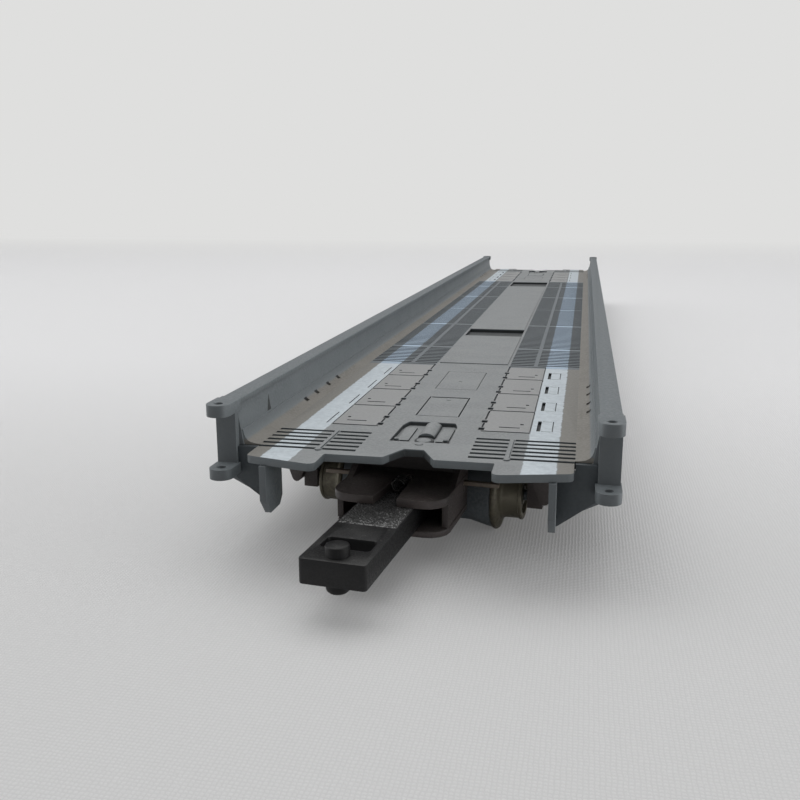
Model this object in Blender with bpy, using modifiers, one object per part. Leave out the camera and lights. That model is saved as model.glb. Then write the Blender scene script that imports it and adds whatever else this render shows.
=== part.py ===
"""Low-floor lorry-carrying railway wagon in HO scale, 1:87, on two four-axle bogies.

Units are metres. +Z is up, the wagon's length lies along Y, and the front end is at -Y.
The origin is on the ground under the middle of the wagon, level with the wheel flanges.
A height ending in _Z is measured from the ground. A length called a reach is measured from a
bogie's pivot towards the nearer end of the wagon. An inset is measured inwards from that end.
"""

import math

import bmesh
import bpy
from mathutils import Matrix, Vector

MM = 0.001

# Driving dimensions of the wagon
WAGON_LENGTH = 210.7 * MM
BOGIE_OVERHANG = 28.9 * MM
AXLE_PITCH = 8.05 * MM
DECK_THICKNESS = 0.68 * MM
DECK_HALF_WIDTH = 14.6 * MM
GIRDER_HEIGHT = 3.85 * MM
GIRDER_DROP = 2.36 * MM
GIRDER_WIDTH = 2.15 * MM
PART_GAP = 0.05 * MM

# Ends of the deck: two tongues, a recess between them and a notch in the middle
TONGUE_INNER_X = 7.0 * MM
TONGUE_EDGE_MARGIN = 1.4 * MM
TONGUE_SKEW = 1.5 * MM
TONGUE_ROOT_INSET = 5.0 * MM
TONGUE_CORNER_RADIUS = 0.6 * MM
RECESS_INSET = 3.1 * MM
NOTCH_MOUTH_X = 2.1 * MM
NOTCH_FLOOR_X = 0.84 * MM
NOTCH_INSET = 5.8 * MM

# Slots of the end gratings
SLOT_COUNT = 6
SLOT_PITCH = 1.14 * MM
SLOT_WIDTH = 0.5 * MM
FIRST_SLOT_INSET = 4.5 * MM
INNER_SLOT_START_X = 4.7 * MM
INNER_SLOT_END_X = 7.55 * MM
OUTER_SLOT_START_X = 8.1 * MM
OUTER_SLOT_MARGIN = 0.3 * MM

# Side girders
GIRDER_FOOT_GAP = 0.06 * MM
GIRDER_SLOPE = 0.55 * MM
GIRDER_WEB = 0.7 * MM
GIRDER_FLANGE = 0.5 * MM
GIRDER_LIP = 0.2 * MM
GIRDER_LIP_DEPTH = 0.4 * MM
GIRDER_END_INSET = 4.9 * MM
RIB_COUNT = 9
RIB_THICKNESS = 0.6 * MM
POST_WIDTH = 1.75 * MM
POST_INSET = 4.2 * MM
POST_DEPTH = 1.6 * MM
LUG_THICKNESS = 0.92 * MM
LUG_RADIUS = 1.02 * MM
LUG_HOLE_RADIUS = 0.4 * MM
LUG_HOLE_INSET = 2.8 * MM
FIN_THICKNESS = 0.56 * MM
FIN_MARGIN = 1.28 * MM
FIN_START_INSET = 1.1 * MM
FIN_DROP = 5.05 * MM
WEB_THICKNESS = 0.6 * MM
WEB_INSET = 4.75 * MM

# Underframe: bolsters, ballast and its tray
BOLSTER_THICKNESS = 0.72 * MM
BOLSTER_HALF_LENGTH = 3.2 * MM
BOLSTER_MARGIN = 2.6 * MM
BOLSTER_CLEARANCE = 0.393 * MM
BOLSTER_BOSS_RADIUS = 2.6 * MM
TRAY_SIDE_MARGIN = 1.2 * MM
TRAY_BOGIE_MARGIN = 19.45 * MM
TRAY_DEPTH = 2.9 * MM
TRAY_WALL = 0.6 * MM
BALLAST_CLEARANCE = 0.25 * MM
TRAY_SCREW_X = 9.5 * MM
TRAY_SCREW_MARGIN = 11.0 * MM
TRAY_SCREW_RADIUS = 0.5 * MM
TRAY_SCREW_HEAD_RADIUS = 1.1 * MM
TRAY_SCREW_HEAD = 0.5 * MM
TRAY_BOSS_RADIUS = 1.4 * MM

# Wheels and axles
TREAD_RADIUS = 2.5 * MM
FLANGE_HEIGHT = 1.0 * MM
FLANGE_THICKNESS = 0.8 * MM
WHEEL_WIDTH = 2.8 * MM
WHEEL_RIM = 0.45 * MM
WHEEL_DISH = 0.4 * MM
BACK_TO_BACK = 14.4 * MM
AXLES_PER_BOGIE = 4
AXLE_RADIUS = 0.5 * MM
AXLE_SLEEVE_RADIUS = 1.0 * MM
AXLE_END_LENGTH = 1.2 * MM
AXLE_POINT_LENGTH = 0.5 * MM
WHEEL_STEPS = 20
AXLE_STEPS = 16

# Bogies
BOGIE_YAW = math.radians(-5.7)
BOGIE_PLATE_THICKNESS = 1.1 * MM
BOGIE_PLATE_OVERLAP = 1.7 * MM
BOGIE_PLATE_MARGIN = 1.925 * MM
WHEEL_CLEARANCE = 0.3 * MM
SIDE_BEAM_CLEARANCE = 1.2 * MM
SIDE_BEAM_WIDTH = 2.05 * MM
SIDE_BEAM_TIP_SHIFT = 1.05 * MM
SIDE_BEAM_TIP_Z = 2.75 * MM
SIDE_BEAM_TIP_RADIUS = 0.45 * MM
SIDE_BEAM_SHOULDER_STEP = 0.5 * MM
SIDE_BEAM_MARGIN = 0.8 * MM
GUARD_CLEARANCE = 0.45 * MM
GUARD_THICKNESS = 1.4 * MM
GUARD_HALF_LENGTH = 1.6 * MM
GUARD_BOTTOM_Z = 1.95 * MM
BEARING_RADIUS = 0.6 * MM
PIVOT_SCREW_RADIUS = 0.8 * MM
PIVOT_SCREW_HEAD_RADIUS = 1.7 * MM
PIVOT_SCREW_HEAD = 0.65 * MM
SCREW_SLOT_WIDTH = 0.35 * MM
RUNNING_GAP = 0.08 * MM

# Coupler pocket
POCKET_LENGTH = 8.8 * MM
POCKET_SETBACK = 1.0 * MM
POCKET_HALF_WIDTH = 5.1 * MM
POCKET_ROOF_Z = 5.35 * MM
POCKET_ROOF_THICKNESS = 0.7 * MM
POCKET_WALL = 0.6 * MM
POCKET_CORNER_RADIUS = 1.9 * MM
POCKET_SLOT_MOUTH = 2.1 * MM
POCKET_SLOT_END = 1.4 * MM
POCKET_SLOT_LENGTH = 5.4 * MM
KEEPER_THICKNESS = 0.55 * MM
SHELF_END_X = 8.3 * MM
SHELF_CLEARANCE = 0.425 * MM

# Drawbar and what is on it
DRAWBAR_OVERHANG = 12.2 * MM
DRAWBAR_HALF_WIDTH = 2.65 * MM
DRAWBAR_THICKNESS = 2.05 * MM
DRAWBAR_PIVOT_DEPTH = 2.7 * MM
DRAWBAR_CORNER_RADIUS = 0.35 * MM
EYE_HALF_WIDTH = 2.0 * MM
EYE_LENGTH = 2.0 * MM
HEAD_BAR = 2.6 * MM
COUPLING_PIN_RADIUS = 0.93 * MM
COUPLING_PIN_PROUD = 0.85 * MM
PIVOT_PIN_RADIUS = 0.7 * MM
PIVOT_PIN_HEAD_RADIUS = 1.2 * MM
PIVOT_PIN_HEAD = 0.4 * MM
SPRING_RADIUS = 0.5 * MM
SPRING_WIRE_RADIUS = 0.11 * MM
SPRING_TURNS = 4

# Worked out from the driving dimensions
HALF_LENGTH = WAGON_LENGTH / 2
BOGIE_PIVOT_Y = HALF_LENGTH - BOGIE_OVERHANG
FLANGE_RADIUS = TREAD_RADIUS + FLANGE_HEIGHT
AXLE_Z = FLANGE_RADIUS * math.cos(math.pi / WHEEL_STEPS)
WHEEL_INNER_X = BACK_TO_BACK / 2
WHEEL_OUTER_X = WHEEL_INNER_X + WHEEL_WIDTH
AXLE_END_X = WHEEL_OUTER_X + AXLE_END_LENGTH
END_AXLE_REACH = AXLE_PITCH * (AXLES_PER_BOGIE - 1) / 2
BOGIE_PLATE_Z = AXLE_Z + FLANGE_RADIUS + WHEEL_CLEARANCE
BOGIE_PLATE_TOP_Z = BOGIE_PLATE_Z + BOGIE_PLATE_THICKNESS
BOGIE_PLATE_HALF_WIDTH = WHEEL_OUTER_X + BOGIE_PLATE_OVERLAP
BOGIE_PLATE_REACH = END_AXLE_REACH + BOGIE_PLATE_MARGIN
SIDE_BEAM_INNER_X = WHEEL_OUTER_X + SIDE_BEAM_CLEARANCE
SIDE_BEAM_OUTER_X = SIDE_BEAM_INNER_X + SIDE_BEAM_WIDTH
SIDE_BEAM_TIP_X = SIDE_BEAM_INNER_X + SIDE_BEAM_TIP_SHIFT
SIDE_BEAM_REACH = BOGIE_PLATE_REACH + SIDE_BEAM_MARGIN
GUARD_INNER_X = WHEEL_OUTER_X + GUARD_CLEARANCE
GUARD_OUTER_X = GUARD_INNER_X + GUARD_THICKNESS
BOLSTER_Z = BOGIE_PLATE_TOP_Z + BOLSTER_CLEARANCE
BOLSTER_TOP_Z = BOLSTER_Z + BOLSTER_THICKNESS
DECK_BOTTOM_Z = BOLSTER_TOP_Z + PART_GAP
DECK_TOP_Z = DECK_BOTTOM_Z + DECK_THICKNESS
GIRDER_OUTER_X = DECK_HALF_WIDTH + GIRDER_WIDTH
GIRDER_TOP_Z = DECK_TOP_Z + GIRDER_HEIGHT
GIRDER_BOTTOM_Z = DECK_TOP_Z - GIRDER_DROP
TONGUE_OUTER_X = DECK_HALF_WIDTH - TONGUE_EDGE_MARGIN
FIN_OUTER_X = TONGUE_OUTER_X - FIN_MARGIN
INNER_SLOT_X = (INNER_SLOT_START_X, INNER_SLOT_END_X)
OUTER_SLOT_X = (OUTER_SLOT_START_X, TONGUE_OUTER_X - OUTER_SLOT_MARGIN)
BOLSTER_HALF_WIDTH = DECK_HALF_WIDTH - BOLSTER_MARGIN
TRAY_HALF_WIDTH = DECK_HALF_WIDTH - TRAY_SIDE_MARGIN
TRAY_HALF_LENGTH = BOGIE_PIVOT_Y - TRAY_BOGIE_MARGIN
TRAY_SCREW_Y = TRAY_HALF_LENGTH - TRAY_SCREW_MARGIN
TRAY_TOP_Z = DECK_BOTTOM_Z - PART_GAP
TRAY_Z = TRAY_TOP_Z - TRAY_DEPTH
DRAWBAR_TOP_Z = POCKET_ROOF_Z - 2 * PART_GAP
DRAWBAR_Z = DRAWBAR_TOP_Z - DRAWBAR_THICKNESS
KEEPER_TOP_Z = DRAWBAR_Z - 2 * PART_GAP
KEEPER_Z = KEEPER_TOP_Z - KEEPER_THICKNESS
POCKET_ROOF_TOP_Z = POCKET_ROOF_Z + POCKET_ROOF_THICKNESS
POCKET_BACK_REACH = BOGIE_PLATE_REACH + POCKET_SETBACK
POCKET_MOUTH_REACH = POCKET_BACK_REACH + POCKET_LENGTH
SHELF_REACH = END_AXLE_REACH + FLANGE_RADIUS + SHELF_CLEARANCE
DRAWBAR_PIVOT_REACH = POCKET_BACK_REACH + DRAWBAR_PIVOT_DEPTH
DRAWBAR_HEAD_REACH = POCKET_MOUTH_REACH + DRAWBAR_OVERHANG

SIDES = {"left": -1, "right": 1}
ENDS = {"front": -1, "rear": 1}


def clear_scene():
    """Remove every object that the file opened with."""
    for thing in list(bpy.data.objects):
        bpy.data.objects.remove(thing, do_unlink=True)


def new_collection(name):
    """Return a new collection linked to the scene."""
    collection = bpy.data.collections.new(name)
    bpy.context.scene.collection.children.link(collection)
    return collection


clear_scene()
WAGON = new_collection("lorry_carrying_wagon")
CUTTERS = new_collection("cutters")


def make_material(name, colour, roughness, metallic=0.0):
    """Return a Principled material of one colour."""
    material = bpy.data.materials.new(name)
    material.use_nodes = True
    shader = material.node_tree.nodes["Principled BSDF"]
    shader.inputs["Base Color"].default_value = (*colour, 1.0)
    shader.inputs["Roughness"].default_value = roughness
    shader.inputs["Metallic"].default_value = metallic
    return material


DECK_GREY = (0.27, 0.28, 0.28)
GIRDER_GREY = (0.13, 0.16, 0.18)
FRAME_BROWN = (0.035, 0.030, 0.030)
DRAWBAR_BLACK = (0.018, 0.018, 0.018)
STEEL = (0.45, 0.43, 0.40)
WHEEL_STEEL = (0.20, 0.18, 0.14)
BALLAST_STEEL = (0.30, 0.30, 0.31)


def place(thing, collection, parent=None):
    """Link an object to a collection and hang it on its parent."""
    for owner in list(thing.users_collection):
        owner.objects.unlink(thing)
    collection.objects.link(thing)
    if parent is not None:
        thing.parent = parent
    return thing


def dress(thing, colour, roughness=0.6, metallic=0.0):
    """Give an object its own material."""
    thing.data.materials.clear()
    thing.data.materials.append(make_material(thing.name, colour, roughness, metallic))
    return thing


def box(name, low, high, parent=None, collection=CUTTERS):
    """Return a box between two corners."""
    low = Vector(low)
    high = Vector(high)
    mesh = bpy.data.meshes.new(name)
    shape = bmesh.new()
    bmesh.ops.create_cube(shape, size=1.0)
    size = high - low
    bmesh.ops.scale(shape, vec=size, verts=shape.verts)
    bmesh.ops.translate(shape, vec=low + size / 2, verts=shape.verts)
    shape.to_mesh(mesh)
    shape.free()
    return place(bpy.data.objects.new(name, mesh), collection, parent)


def boxes(name, corner_pairs):
    """Return one cutter made of separate boxes, each between two corners."""
    cutter = box(name, *corner_pairs[0])
    shape = bmesh.new()
    for low, high in corner_pairs:
        low = Vector(low)
        size = Vector(high) - low
        cube = bmesh.ops.create_cube(shape, size=1.0)["verts"]
        bmesh.ops.scale(shape, vec=size, verts=cube)
        bmesh.ops.translate(shape, vec=low + size / 2, verts=cube)
    shape.to_mesh(cutter.data)
    shape.free()
    return cutter


def cylinder(name, centre, radius, height, axis="Z", parent=None, steps=24, collection=CUTTERS):
    """Return a cylinder about an axis through the centre point of its length."""
    mesh = bpy.data.meshes.new(name)
    shape = bmesh.new()
    turn = {"X": Matrix.Rotation(math.pi / 2, 4, "Y"), "Z": Matrix.Identity(4)}[axis]
    bmesh.ops.create_cone(
        shape,
        cap_ends=True,
        segments=steps,
        radius1=radius,
        radius2=radius,
        depth=height,
        matrix=Matrix.Translation(Vector(centre)) @ turn,
    )
    shape.to_mesh(mesh)
    shape.free()
    return place(bpy.data.objects.new(name, mesh), collection, parent)


def plate(name, outlines, low, high, plane="XY", parent=None, collection=CUTTERS):
    """Return a flat plate. The first outline is its edge and the others are its holes.

    plane names the plane that the outlines lie in. low and high are the faces' places across it.
    The curve is drawn in millimetres, because its fill loses edges that are tiny in metres.
    """
    curve = bpy.data.curves.new(name, "CURVE")
    curve.dimensions = "2D"
    curve.fill_mode = "BOTH"
    curve.extrude = (high - low) / 2 / MM
    for outline in outlines:
        spline = curve.splines.new("POLY")
        spline.points.add(len(outline) - 1)
        for point, (across, along) in zip(spline.points, outline):
            point.co = (across / MM, along / MM, 0.0, 1.0)
        spline.use_cyclic_u = True
    drawn = bpy.data.objects.new(name + "_outline", curve)
    turns = {
        "XY": Matrix.Identity(4),
        "XZ": Matrix.Rotation(math.pi / 2, 4, "X"),
        "YZ": Matrix(((0, 0, 1, 0), (1, 0, 0, 0), (0, 1, 0, 0), (0, 0, 0, 1))),
    }
    middle = (low + high) / 2
    shifts = {"XY": (0, 0, middle), "XZ": (0, middle, 0), "YZ": (middle, 0, 0)}
    drawn.matrix_world = Matrix.Translation(shifts[plane]) @ turns[plane] @ Matrix.Scale(MM, 4)
    WAGON.objects.link(drawn)
    bpy.context.view_layer.update()
    evaluated = drawn.evaluated_get(bpy.context.evaluated_depsgraph_get())
    mesh = bpy.data.meshes.new_from_object(evaluated)
    mesh.transform(drawn.matrix_world)
    bpy.data.objects.remove(drawn)
    shape = bmesh.new()
    shape.from_mesh(mesh)
    bmesh.ops.remove_doubles(shape, verts=shape.verts, dist=0.001 * MM)
    bmesh.ops.recalc_face_normals(shape, faces=shape.faces)
    shape.to_mesh(mesh)
    shape.free()
    mesh.name = name
    return place(bpy.data.objects.new(name, mesh), collection, parent)


def turned(name, profile, axis_point, parent=None, steps=24, closed=False, collection=CUTTERS):
    """Return a turned piece whose profile gives (radius, height) points from its top down.

    The piece turns about the vertical through axis_point. A closed profile is a ring's section.
    """
    mesh = bpy.data.meshes.new(name)
    shape = bmesh.new()
    points = [shape.verts.new((radius, 0.0, height)) for radius, height in profile]
    for first, second in zip(points, points[1:]):
        shape.edges.new((first, second))
    if closed:
        shape.edges.new((points[-1], points[0]))
    shape.to_mesh(mesh)
    shape.free()
    thing = place(bpy.data.objects.new(name, mesh), collection, parent)
    thing.location = axis_point
    screw = thing.modifiers.new("turn", "SCREW")
    screw.steps = steps
    screw.render_steps = steps
    screw.use_merge_vertices = True
    screw.merge_threshold = 0.001 * MM
    return thing


def combine(target, others, operation):
    """Join the other solids to the target, or cut them from it, with exact booleans."""
    for other in others:
        change = target.modifiers.new(other.name, "BOOLEAN")
        change.operation = operation
        change.solver = "EXACT"
        change.object = other
        other.hide_render = True
        other.display_type = "WIRE"
    return target


def rounded(corners, radii, steps=4):
    """Return an outline whose corners are arcs of the given radii, 0 for a sharp corner."""
    outline = []
    count = len(corners)
    for index, (corner, radius) in enumerate(zip(corners, radii)):
        here = Vector(corner)
        if radius <= 0:
            outline.append(tuple(here))
            continue
        back = (Vector(corners[index - 1]) - here).normalized()
        ahead = (Vector(corners[(index + 1) % count]) - here).normalized()
        half_angle = back.angle(ahead) / 2
        centre = here + (back + ahead).normalized() * radius / math.sin(half_angle)
        start = here + back * radius / math.tan(half_angle) - centre
        end = here + ahead * radius / math.tan(half_angle) - centre
        sweep = start.angle_signed(end)
        for step in range(steps + 1):
            angle = -sweep * step / steps
            turn = Matrix.Rotation(angle, 2)
            outline.append(tuple(centre + turn @ start))
    return outline


def rectangle(low_x, low_y, high_x, high_y):
    """Return the four corners of a rectangle."""
    return [(low_x, low_y), (high_x, low_y), (high_x, high_y), (low_x, high_y)]


def smooth(thing, angle=0.6):
    """Shade a round piece smooth up to the given edge angle."""
    thing.data.shade_smooth()
    thing.data.set_sharp_from_angle(angle=angle)
    return thing


# Deck


def deck_end_corners():
    """Return half of one end's outline as (x, inset) corners and their radii."""
    corners = [
        (NOTCH_FLOOR_X, NOTCH_INSET),
        (NOTCH_MOUTH_X, RECESS_INSET),
        (TONGUE_INNER_X, RECESS_INSET),
        (TONGUE_INNER_X, 0.0),
        (TONGUE_OUTER_X, TONGUE_SKEW),
        (TONGUE_OUTER_X, TONGUE_ROOT_INSET),
        (DECK_HALF_WIDTH, TONGUE_ROOT_INSET),
    ]
    radii = [0, 0, 0, TONGUE_CORNER_RADIUS, TONGUE_CORNER_RADIUS, 0, 0]
    return corners, radii


def deck_outline():
    """Return the deck's closed outline, counter-clockwise."""
    corners, radii = deck_end_corners()
    quarter = [(x, inset - HALF_LENGTH) for x, inset in corners]
    outline = list(quarter)
    outline += [(x, -y) for x, y in reversed(quarter)]
    outline += [(-x, -y) for x, y in quarter]
    outline += [(-x, y) for x, y in reversed(quarter)]
    all_radii = radii + radii[::-1] + radii + radii[::-1]
    return rounded(outline, all_radii)


def grating_slots():
    """Return the low and high corners of the slots in the four end gratings."""
    low_z = DECK_BOTTOM_Z - DECK_THICKNESS
    high_z = DECK_TOP_Z + DECK_THICKNESS
    slots = []
    for end in ENDS.values():
        for side in SIDES.values():
            for near_x, far_x in (INNER_SLOT_X, OUTER_SLOT_X):
                for index in range(SLOT_COUNT):
                    inset = FIRST_SLOT_INSET + index * SLOT_PITCH
                    y = end * (HALF_LENGTH - inset)
                    low_x = min(side * near_x, side * far_x)
                    high_x = max(side * near_x, side * far_x)
                    low = (low_x, y - SLOT_WIDTH / 2, low_z)
                    high = (high_x, y + SLOT_WIDTH / 2, high_z)
                    slots.append((low, high))
    return slots


def tray_screw_places():
    """Return the (x, y) places of the four tray screws."""
    return [(x * TRAY_SCREW_X, y * TRAY_SCREW_Y) for x in (-1, 1) for y in (-1, 1)]


def build_deck():
    """Build the deck plate with its gratings and the bosses for the tray screws."""
    deck = plate("deck_plate", [deck_outline()], DECK_BOTTOM_Z, DECK_TOP_Z, collection=WAGON)
    bosses = []
    holes = []
    boss_low = TRAY_Z + TRAY_WALL + PART_GAP
    boss_high = DECK_BOTTOM_Z + DECK_THICKNESS / 3
    for index, (x, y) in enumerate(tray_screw_places()):
        middle = (boss_low + boss_high) / 2
        boss = cylinder(f"deck_boss_{index}", (x, y, middle), TRAY_BOSS_RADIUS, boss_high - boss_low)
        bosses.append(boss)
        hole_high = DECK_BOTTOM_Z
        hole_low = boss_low - DECK_THICKNESS
        hole_middle = (hole_low + hole_high) / 2
        radius = TRAY_SCREW_RADIUS + PART_GAP
        hole = cylinder(f"boss_hole_{index}", (x, y, hole_middle), radius, hole_high - hole_low)
        holes.append(hole)
    combine(deck, bosses, "UNION")
    slots = boxes("grating_slots", grating_slots())
    combine(deck, [*holes, slots], "DIFFERENCE")
    dress(deck, DECK_GREY, 0.55)


# Side girders


def girder_section():
    """Return the channel section of the right girder as (x, z) corners."""
    foot_x = DECK_HALF_WIDTH + GIRDER_FOOT_GAP
    head_x = foot_x + GIRDER_SLOPE
    under_x = foot_x + GIRDER_WEB
    return [
        (under_x, GIRDER_BOTTOM_Z),
        (GIRDER_OUTER_X, GIRDER_BOTTOM_Z),
        (GIRDER_OUTER_X, GIRDER_BOTTOM_Z + GIRDER_FLANGE),
        (under_x + GIRDER_WEB, GIRDER_BOTTOM_Z + GIRDER_FLANGE),
        (under_x + GIRDER_WEB, DECK_BOTTOM_Z),
        (head_x + GIRDER_WEB, GIRDER_TOP_Z - GIRDER_FLANGE),
        (GIRDER_OUTER_X, GIRDER_TOP_Z - GIRDER_FLANGE),
        (GIRDER_OUTER_X, GIRDER_TOP_Z),
        (head_x - GIRDER_LIP, GIRDER_TOP_Z),
        (head_x - GIRDER_LIP, GIRDER_TOP_Z - GIRDER_LIP_DEPTH),
        (head_x, GIRDER_TOP_Z - GIRDER_LIP_DEPTH),
        (foot_x, DECK_TOP_Z),
        (foot_x, DECK_BOTTOM_Z - PART_GAP),
        (under_x, DECK_BOTTOM_Z - PART_GAP),
    ]


def lug_outline(side, end):
    """Return a lug's outline as seen from above, round at its free end."""
    centre_x = side * (GIRDER_OUTER_X - POST_WIDTH / 2)
    tip = HALF_LENGTH - LUG_HOLE_INSET
    root = HALF_LENGTH - POST_INSET - POST_DEPTH / 2
    outline = [(centre_x + LUG_RADIUS, end * root)]
    steps = 10
    for step in range(steps + 1):
        angle = math.pi * step / steps
        across = LUG_RADIUS * math.cos(angle)
        along = LUG_RADIUS * math.sin(angle)
        outline.append((centre_x + across, end * (tip + along)))
    outline.append((centre_x - LUG_RADIUS, end * root))
    return outline


def circle(centre_x, centre_y, radius, steps=16):
    """Return the outline of a circle."""
    points = []
    for step in range(steps):
        angle = 2 * math.pi * step / steps
        points.append((centre_x + radius * math.cos(angle), centre_y + radius * math.sin(angle)))
    return points


def fin_outline(end):
    """Return the side view of the fin under a tongue as (y, z) corners."""
    start = FIN_START_INSET
    back = WEB_INSET + WEB_THICKNESS / 2
    top = DECK_BOTTOM_Z - PART_GAP
    bottom = DECK_TOP_Z - FIN_DROP
    bevel = DECK_THICKNESS
    corners = [
        (start, top),
        (start, bottom + 2 * bevel),
        (start + 1.6 * bevel, bottom),
        (back - bevel, bottom),
        (back, bottom + bevel),
        (back, top),
    ]
    return [(end * (HALF_LENGTH - inset), z) for inset, z in corners]


def web_outline(side):
    """Return the front view of a corner web as (x, z) corners."""
    top = DECK_BOTTOM_Z - 3 * PART_GAP
    bottom = DECK_TOP_Z - FIN_DROP
    inner = FIN_OUTER_X - FIN_THICKNESS / 2
    outer = GIRDER_OUTER_X - POST_WIDTH / 2
    corners = [
        (inner, bottom + DECK_THICKNESS / 2),
        (FIN_OUTER_X + DECK_THICKNESS, bottom + DECK_THICKNESS / 2),
        (outer, GIRDER_BOTTOM_Z - DECK_THICKNESS),
        (outer, top),
        (inner, top),
    ]
    return [(side * x, z) for x, z in corners]


def build_girder(side_name):
    """Build one side girder with its ribs, end posts, lugs, webs and fins."""
    side = SIDES[side_name]
    name = f"side_girder_{side_name}"
    reach = HALF_LENGTH - GIRDER_END_INSET
    section = [(side * x, z) for x, z in girder_section()]
    girder = plate(name, [section], -reach, reach, plane="XZ", collection=WAGON)
    extras = []
    rib_spacing = 2 * reach / (RIB_COUNT + 1)
    rib_inner = DECK_HALF_WIDTH + GIRDER_FOOT_GAP + GIRDER_WEB * 1.5
    rib_outer = GIRDER_OUTER_X - GIRDER_FLANGE / 2
    for index in range(RIB_COUNT):
        y = -reach + (index + 1) * rib_spacing
        low_x, high_x = sorted((side * rib_inner, side * rib_outer))
        low = (low_x, y - RIB_THICKNESS / 2, GIRDER_BOTTOM_Z + GIRDER_FLANGE / 2)
        high = (high_x, y + RIB_THICKNESS / 2, GIRDER_TOP_Z - GIRDER_FLANGE / 2)
        if abs(y) < TRAY_HALF_LENGTH:
            low = (low[0], low[1], DECK_BOTTOM_Z - GIRDER_FLANGE)
        extras.append(box(f"{name}_rib_{index}", low, high))
    for end_name, end in ENDS.items():
        tag = f"{name}_{end_name}"
        outer_y = HALF_LENGTH - POST_INSET
        proud = PART_GAP
        post_outer = GIRDER_OUTER_X + proud
        low_x, high_x = sorted((side * (post_outer - POST_WIDTH), side * post_outer))
        low_y, high_y = sorted((end * outer_y, end * (outer_y - POST_DEPTH)))
        post_low = (low_x, low_y, GIRDER_BOTTOM_Z - proud)
        post = box(f"{tag}_post", post_low, (high_x, high_y, GIRDER_TOP_Z + proud))
        hole_x = side * (GIRDER_OUTER_X - POST_WIDTH / 2)
        hole = circle(hole_x, end * (HALF_LENGTH - LUG_HOLE_INSET), LUG_HOLE_RADIUS)
        lug_outlines = [lug_outline(side, end), hole]
        top_low = GIRDER_TOP_Z - LUG_THICKNESS
        top_lug = plate(f"{tag}_top_lug", lug_outlines, top_low, GIRDER_TOP_Z + 2 * proud)
        low_low = GIRDER_BOTTOM_Z - 2 * proud
        low_lug = plate(f"{tag}_low_lug", lug_outlines, low_low, low_low + LUG_THICKNESS)
        fin_low, fin_high = sorted((side * FIN_OUTER_X, side * (FIN_OUTER_X - FIN_THICKNESS)))
        fin = plate(f"{tag}_fin", [fin_outline(end)], fin_low, fin_high, plane="YZ")
        web_y = end * (HALF_LENGTH - WEB_INSET)
        web_low, web_high = sorted((web_y, web_y - end * WEB_THICKNESS))
        web = plate(f"{tag}_web", [web_outline(side)], web_low, web_high, plane="XZ")
        extras += [post, top_lug, low_lug, web, fin]
    combine(girder, extras, "UNION")
    dress(girder, GIRDER_GREY, 0.6)


# Underframe


def build_bolster(end_name):
    """Build the crossmember that a bogie turns under, with its boss."""
    y = ENDS[end_name] * BOGIE_PIVOT_Y
    name = f"{end_name}_bolster"
    low = (-BOLSTER_HALF_WIDTH, y - BOLSTER_HALF_LENGTH, BOLSTER_Z)
    high = (BOLSTER_HALF_WIDTH, y + BOLSTER_HALF_LENGTH, BOLSTER_TOP_Z)
    bolster = box(name, low, high, collection=WAGON)
    boss_low = BOGIE_PLATE_TOP_Z + RUNNING_GAP
    boss_high = BOLSTER_TOP_Z - BOLSTER_THICKNESS / 2
    boss_middle = (boss_low + boss_high) / 2
    boss = cylinder(f"{name}_boss", (0, y, boss_middle), BOLSTER_BOSS_RADIUS, boss_high - boss_low)
    radius = PIVOT_SCREW_RADIUS + PART_GAP
    hole = cylinder(f"{name}_hole", (0, y, BOLSTER_Z), radius, 6 * BOLSTER_THICKNESS)
    combine(bolster, [boss], "UNION")
    combine(bolster, [hole], "DIFFERENCE")
    dress(bolster, DECK_GREY, 0.6)


def build_pivot_screw(end_name):
    """Build the slotted screw that a bogie turns on."""
    y = ENDS[end_name] * BOGIE_PIVOT_Y
    name = f"{end_name}_pivot_screw"
    head_top = BOGIE_PLATE_Z - RUNNING_GAP
    head_low = head_top - PIVOT_SCREW_HEAD
    bevel = PART_GAP * 2
    profile = [
        (0.0, BOLSTER_TOP_Z - PART_GAP),
        (PIVOT_SCREW_RADIUS, BOLSTER_TOP_Z - PART_GAP),
        (PIVOT_SCREW_RADIUS, head_top),
        (PIVOT_SCREW_HEAD_RADIUS, head_top),
        (PIVOT_SCREW_HEAD_RADIUS, head_low + bevel),
        (PIVOT_SCREW_HEAD_RADIUS - bevel, head_low),
        (0.0, head_low),
    ]
    screw = turned(name, profile, (0, y, 0), collection=WAGON)
    depth = PIVOT_SCREW_HEAD / 2
    low = (-2 * PIVOT_SCREW_HEAD_RADIUS, y - SCREW_SLOT_WIDTH / 2, head_low - depth)
    high = (2 * PIVOT_SCREW_HEAD_RADIUS, y + SCREW_SLOT_WIDTH / 2, head_low + depth)
    combine(screw, [box(f"{name}_slot", low, high)], "DIFFERENCE")
    dress(smooth(screw), STEEL, 0.35, 1.0)


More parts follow.
